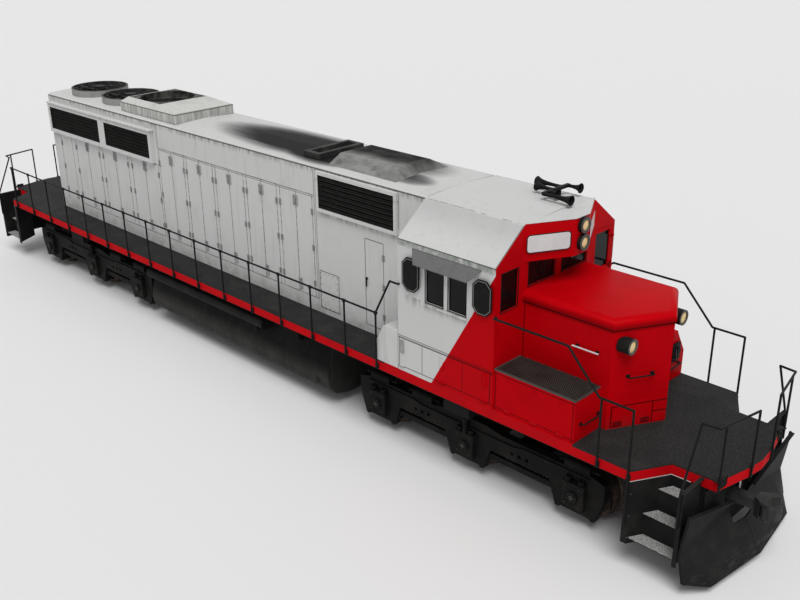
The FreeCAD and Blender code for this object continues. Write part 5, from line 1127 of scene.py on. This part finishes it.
def bogie_trim():
    """Bolts, springs and pipes that ride on each bogie."""
    for name, place, way in (("front", 5.9, 1), ("rear", -5.9, -1)):
        bolts, springs, pipes = [], [], []
        for x in [place + way * off for off in (2.060, -0.050, -2.045)]:
            bolts += bolts_round((x, -1.262, AXLE_LEVEL), OUT, 0.070, 6, 0.011, 0.008)
            bolts.append(stud(1.262, x, AXLE_LEVEL, 0.0, 0.014, 0.040, 24, 0.006))
            bolts += [stud(1.234, x + off, AXLE_LEVEL + rise, 0.0, 0.016, 0.014, 6, 0.002)
                      for off in (-0.125, 0.125) for rise in (-0.125, 0.175)]
            springs += [coil((x + off, -1.185, 0.770), 0.040, 0.012, 0.075, 3.5)
                        for off in (-0.115, 0.115)]
        pipes.append(loop_bar([(place + way * off, -1.168, level) for off, level in (
            (-2.3, 0.900), (-1.2, 0.900), (-1.0, 0.860), (0.9, 0.860), (1.1, 0.905),
            (2.3, 0.905))], 0.014))
        for end, out in ((way, 2.50), (-way, 2.49)):
            x = place + end * out
            pipes.append(loop_bar([(x, -1.05, 0.75), (x, -0.90, 0.62),
                                   (x - end * 0.02, -0.80, 0.30)], 0.018))
        body = name + "_bogie"
        fit(both(bolts), "axle_box_bolts_" + name, bolt_steel, body)
        fit(both(springs), "box_springs_" + name, cast, body)
        fit(both(pipes), "bogie_pipes_" + name, rail_black, body)


def pilot_corner(way, side):
    """Uncoupling lever with its brackets, and a socket, at one corner of a pilot."""
    def at(x, y, z):
        return way * x, side * y, z

    lever = loop_bar([at(9.842, 0.93, 1.10), at(9.842, 0.93, 1.36), at(9.842, 0.34, 1.36),
                      at(9.90, 0.27, 1.30), at(9.90, 0.20, 1.16)], 0.013)
    brackets = [block(at(9.828, across - 0.02, 1.335), at(9.858, across + 0.02, 1.385), 0.004, 1)
                for across in (0.88, 0.42)]
    socket = block(at(9.985, 0.76, 1.490), at(10.045, 0.92, 1.655), 0.008)
    lid = round_bar(at(10.030, 0.84, 1.575), at(10.052, 0.84, 1.575), 0.022, 12, 0.004)
    return [lever] + brackets + [dished(socket, (way, 0, 0), 0.014, -0.010), lid]


def coupler_trim():
    """Uncoupling levers and sockets at both pilots."""
    for name, way in (("front", 1), ("rear", -1)):
        made = pilot_corner(way, -1) + pilot_corner(way, 1)
        fit(made, "uncoupling_lever_" + name, rail_black)


def nose_point(share, level, proud=0.0):
    """A point on the right half of the nose's front, from the corner to the middle."""
    return Vector((NOSE_CORNER, -NOSE_SIDE, level)) + Vector((NOSE_RUN, NOSE_SIDE, 0)) * share \
        + Vector(NOSE_AHEAD).normalized() * proud


def nose_panel(start, end, low, high, thick, bevel=0.003, sunk=False):
    """A thin plate on the nose's front between two shares and two levels."""
    width, height = (end - start) * NOSE_SLANT, high - low
    panel = block((-width / 2, -height / 2, 0), (width / 2, height / 2, thick), bevel, 1)
    if sunk:
        panel = dished(panel, (0, 0, 1), 0.006, -0.006)
    return placed(panel, nose_point((start + end) / 2, (low + high) / 2), NOSE_AHEAD)


def nose_trim():
    """Little doors, vents and grab bars of the nose, and a socket on the box beside it."""
    doors = [nose_panel(start, end, low, high, 0.005) for start, end, low, high in (
        (0.085, 0.755, 1.625, 1.950), (0.77, 0.985, 1.625, 1.783), (0.77, 0.985, 1.797, 1.950))]
    doors += [nose_panel(share - 0.045, share + 0.045, 1.962, 2.000, 0.008)
              for share in (0.142, 0.585)]
    fit(both(doors), "nose_doors", red)
    vents, inset = [], 0.008 / NOSE_SLANT
    for start, end in ((0.11, 0.26), (0.58, 0.72)):
        vents.append(nose_panel(start, end, VENT_FOOT, VENT_FOOT + 0.080, 0.009, 0.002, sunk=True))
        vents += [nose_panel(start + inset, end - inset, level - 0.005, level + 0.005, 0.008, 0.002)
                  for level in (VENT_FOOT + 0.016 * step for step in range(1, 5))]
    dark_red = plain_paint("vent_red", (0.09, 0.001, 0.002), (0.04, 0.001, 0.001), 0.6)
    fit(both(vents), "nose_vents", dark_red)

    grab = loop_bar([nose_point(share, 2.43, proud) for share, proud in (
        (0.30, 0.0), (0.30, 0.075), (0.70, 0.075), (0.70, 0.0))], 0.012, 0.015)
    box_grab = loop_bar([(x, y, 1.865) for x, y in (
        (BOX_FRONT, -1.33), (8.135, -1.33), (8.135, -0.90), (BOX_FRONT, -0.90))], 0.012, 0.015)
    feet = [nose_panel(share - 0.035, share + 0.035, 2.405, 2.455, 0.008) for share in (0.30, 0.70)]
    feet += [block((BOX_FRONT, across - 0.03, 1.84), (8.086, across + 0.03, 1.89), 0.003, 1)
             for across in (-1.33, -0.90)]
    fit(both([grab, box_grab] + feet), "front_grabs", rubber)
    side_bar = round_bar((7.567, -0.902, 2.775), (8.013, -0.902, 2.775), 0.013)
    fit(both([side_bar]), "side_grabs", silver)
    stands = []
    for x in (7.62, 7.96):
        stands.append(loop_bar([(x, -NOSE_SIDE, 2.755), (x, -0.885, 2.755), (x, -0.900, 2.775)],
                               0.010, 0.01))
        stands.append(plate(NOSE_SIDE, (x - 0.03, 2.735), (x + 0.03, 2.795), 0.008))
    fit(both(stands), "grab_stands", rubber)
    socket = [block((BOX_FRONT, 1.06, 1.96), (8.120, 1.29, 2.25), 0.008),
              round_bar((8.110, 1.175, 2.15), (8.165, 1.175, 2.15), 0.055, 20, 0.008),
              round_bar((8.110, 1.175, 2.03), (8.150, 1.175, 2.03), 0.040, 20, 0.008)]
    fit(socket, "jumper_socket", rubber)


def nose_cap():
    """Rounded roof of the nose, over the faceted one."""
    deselect()
    bpy.ops.mesh.primitive_circle_add(vertices=5, radius=1.0, fill_type="NGON")
    piece = settle(bpy.context.active_object)
    plan = [(8.677, 0.0), (8.206, 0.862), (6.626, 0.862), (6.626, -0.862), (8.206, -0.862)]
    order = sorted(piece.data.vertices,
                   key=lambda vertex: math.atan2(vertex.co.y, vertex.co.x) % (2 * math.pi))
    for vertex, (x, y) in zip(order, plan):
        vertex.co = (x, y, 3.181)
    choose(piece)
    bpy.ops.mesh.extrude_region_move(TRANSFORM_OT_translate={"value": (0, 0, 0.156)})
    bpy.ops.mesh.select_all(action="SELECT")
    bpy.ops.mesh.normals_make_consistent(inside=False)
    leave()
    editing(piece, "EDGE")
    for edge in piece.data.edges:
        ends = [piece.data.vertices[index].co for index in edge.vertices]
        edge.select = all(end.z > 3.3 for end in ends) and any(end.x > 6.7 for end in ends)
    bpy.ops.object.mode_set(mode="EDIT")
    bpy.ops.mesh.bevel(offset=0.108, offset_type="OFFSET", segments=8, profile=0.5)
    fit([leave()], "nose_cap", red, angle=50)


def box_trim():
    """Rivets, catches and hinges of the battery box, and the bolts on its front."""
    spots = [(6.72 + index * 0.165, 0, level) for level in (2.243, 1.640) for index in range(9)]
    made = copies(stud(BOX_SIDE, 0, 0, 0.005, -0.002, 0.009, 8), spots)
    catch = dished(plate(BOX_SIDE, (-0.045, 2.16), (0.045, 2.215), 0.008), OUT, 0.008, -0.005)
    for piece in (catch, low_hinge(BOX_SIDE, 0.06, 1.665, 0.010)):
        made += copies(piece, [(x, 0, 0) for x in (6.90, 7.37, 7.84)])
    fit(made, "box_hardware", red)
    bolt = round_bar((BOX_FRONT, 0, 0), (8.085, 0, 0), 0.009, 8)
    spots = [(0, across, level) for across in (-1.45, -0.90) for level in (1.66, 2.20)]
    fit(copies(bolt, spots), "box_bolts", red)


def stage():
    """Pale floor, soft light and white ground."""
    deselect()
    bpy.ops.mesh.primitive_plane_add(size=400, location=(0, 0, 0))
    floor = bpy.context.active_object
    floor.name = "floor"
    material = bpy.data.materials.new("floor_white")
    material.use_nodes = True
    shader = material.node_tree.nodes["Principled BSDF"]
    shader.inputs["Base Color"].default_value = (0.80, 0.80, 0.80, 1)
    shader.inputs["Roughness"].default_value = 0.9
    floor.data.materials.append(material)

    world = bpy.data.worlds.new("studio")
    bpy.context.scene.world = world
    world.use_nodes = True
    tree = world.node_tree
    path = tree.nodes.new("ShaderNodeLightPath")
    seen = path.outputs["Is Camera Ray"]
    for kind in ("Is Glossy Ray", "Is Transmission Ray"):
        larger = tree.nodes.new("ShaderNodeMath")
        larger.operation = "MAXIMUM"
        tree.links.new(seen, larger.inputs[0])
        tree.links.new(path.outputs[kind], larger.inputs[1])
        seen = larger.outputs[0]
    level = tree.nodes.new("ShaderNodeMapRange")
    tree.links.new(seen, level.inputs["Value"])
    level.inputs["To Min"].default_value = 0.38
    level.inputs["To Max"].default_value = 1.0
    ground = tree.nodes["Background"]
    tree.links.new(level.outputs[0], ground.inputs["Strength"])
    ground.inputs["Color"].default_value = (1, 1, 1, 1)

    bpy.ops.object.light_add(type="SUN", location=(0, 0, 30))
    sun = bpy.context.active_object
    sun.data.energy = 2.1
    sun.data.angle = math.radians(35)
    sun.rotation_euler = Vector((0.40, -0.36, 1.0)).to_track_quat("Z", "Y").to_euler()


def camera():
    """The photograph's viewpoint."""
    yaw, pitch, roll = (math.radians(value) for value in (134.654, -23.102, -0.578))
    level = math.cos(pitch)
    ahead = Vector((level * math.cos(yaw), level * math.sin(yaw), math.sin(pitch)))
    right = ahead.cross(Vector((0, 0, 1))).normalized()
    up = right.cross(ahead)
    turned_right = right * math.cos(roll) + up * math.sin(roll)
    turned_up = up * math.cos(roll) - right * math.sin(roll)
    lens_data = bpy.data.cameras.new("photo_view")
    lens_data.sensor_width = 36.0
    lens_data.lens = 977.2 * 36.0 / 800.0
    lens_data.clip_end = 500
    view = bpy.data.objects.new("photo_view", lens_data)
    bpy.context.scene.collection.objects.link(view)
    turn = Matrix((turned_right, turned_up, -ahead)).transposed().to_4x4()
    view.matrix_world = Matrix.Translation((14.675, -11.588, 8.877)) @ turn
    bpy.context.scene.camera = view


hood_hardware()
cabinet_hardware()
roof_rivets()
louvre_slats()
cab_trim()
wing_rims()
lamp_trim()
horns()
fan_guards()
rail_collars()
sill_piping()
tank_trim()
bogie_trim()
coupler_trim()
nose_trim()
nose_cap()
box_trim()
stage()
camera()
bpy.context.scene.view_settings.view_transform = "Standard"
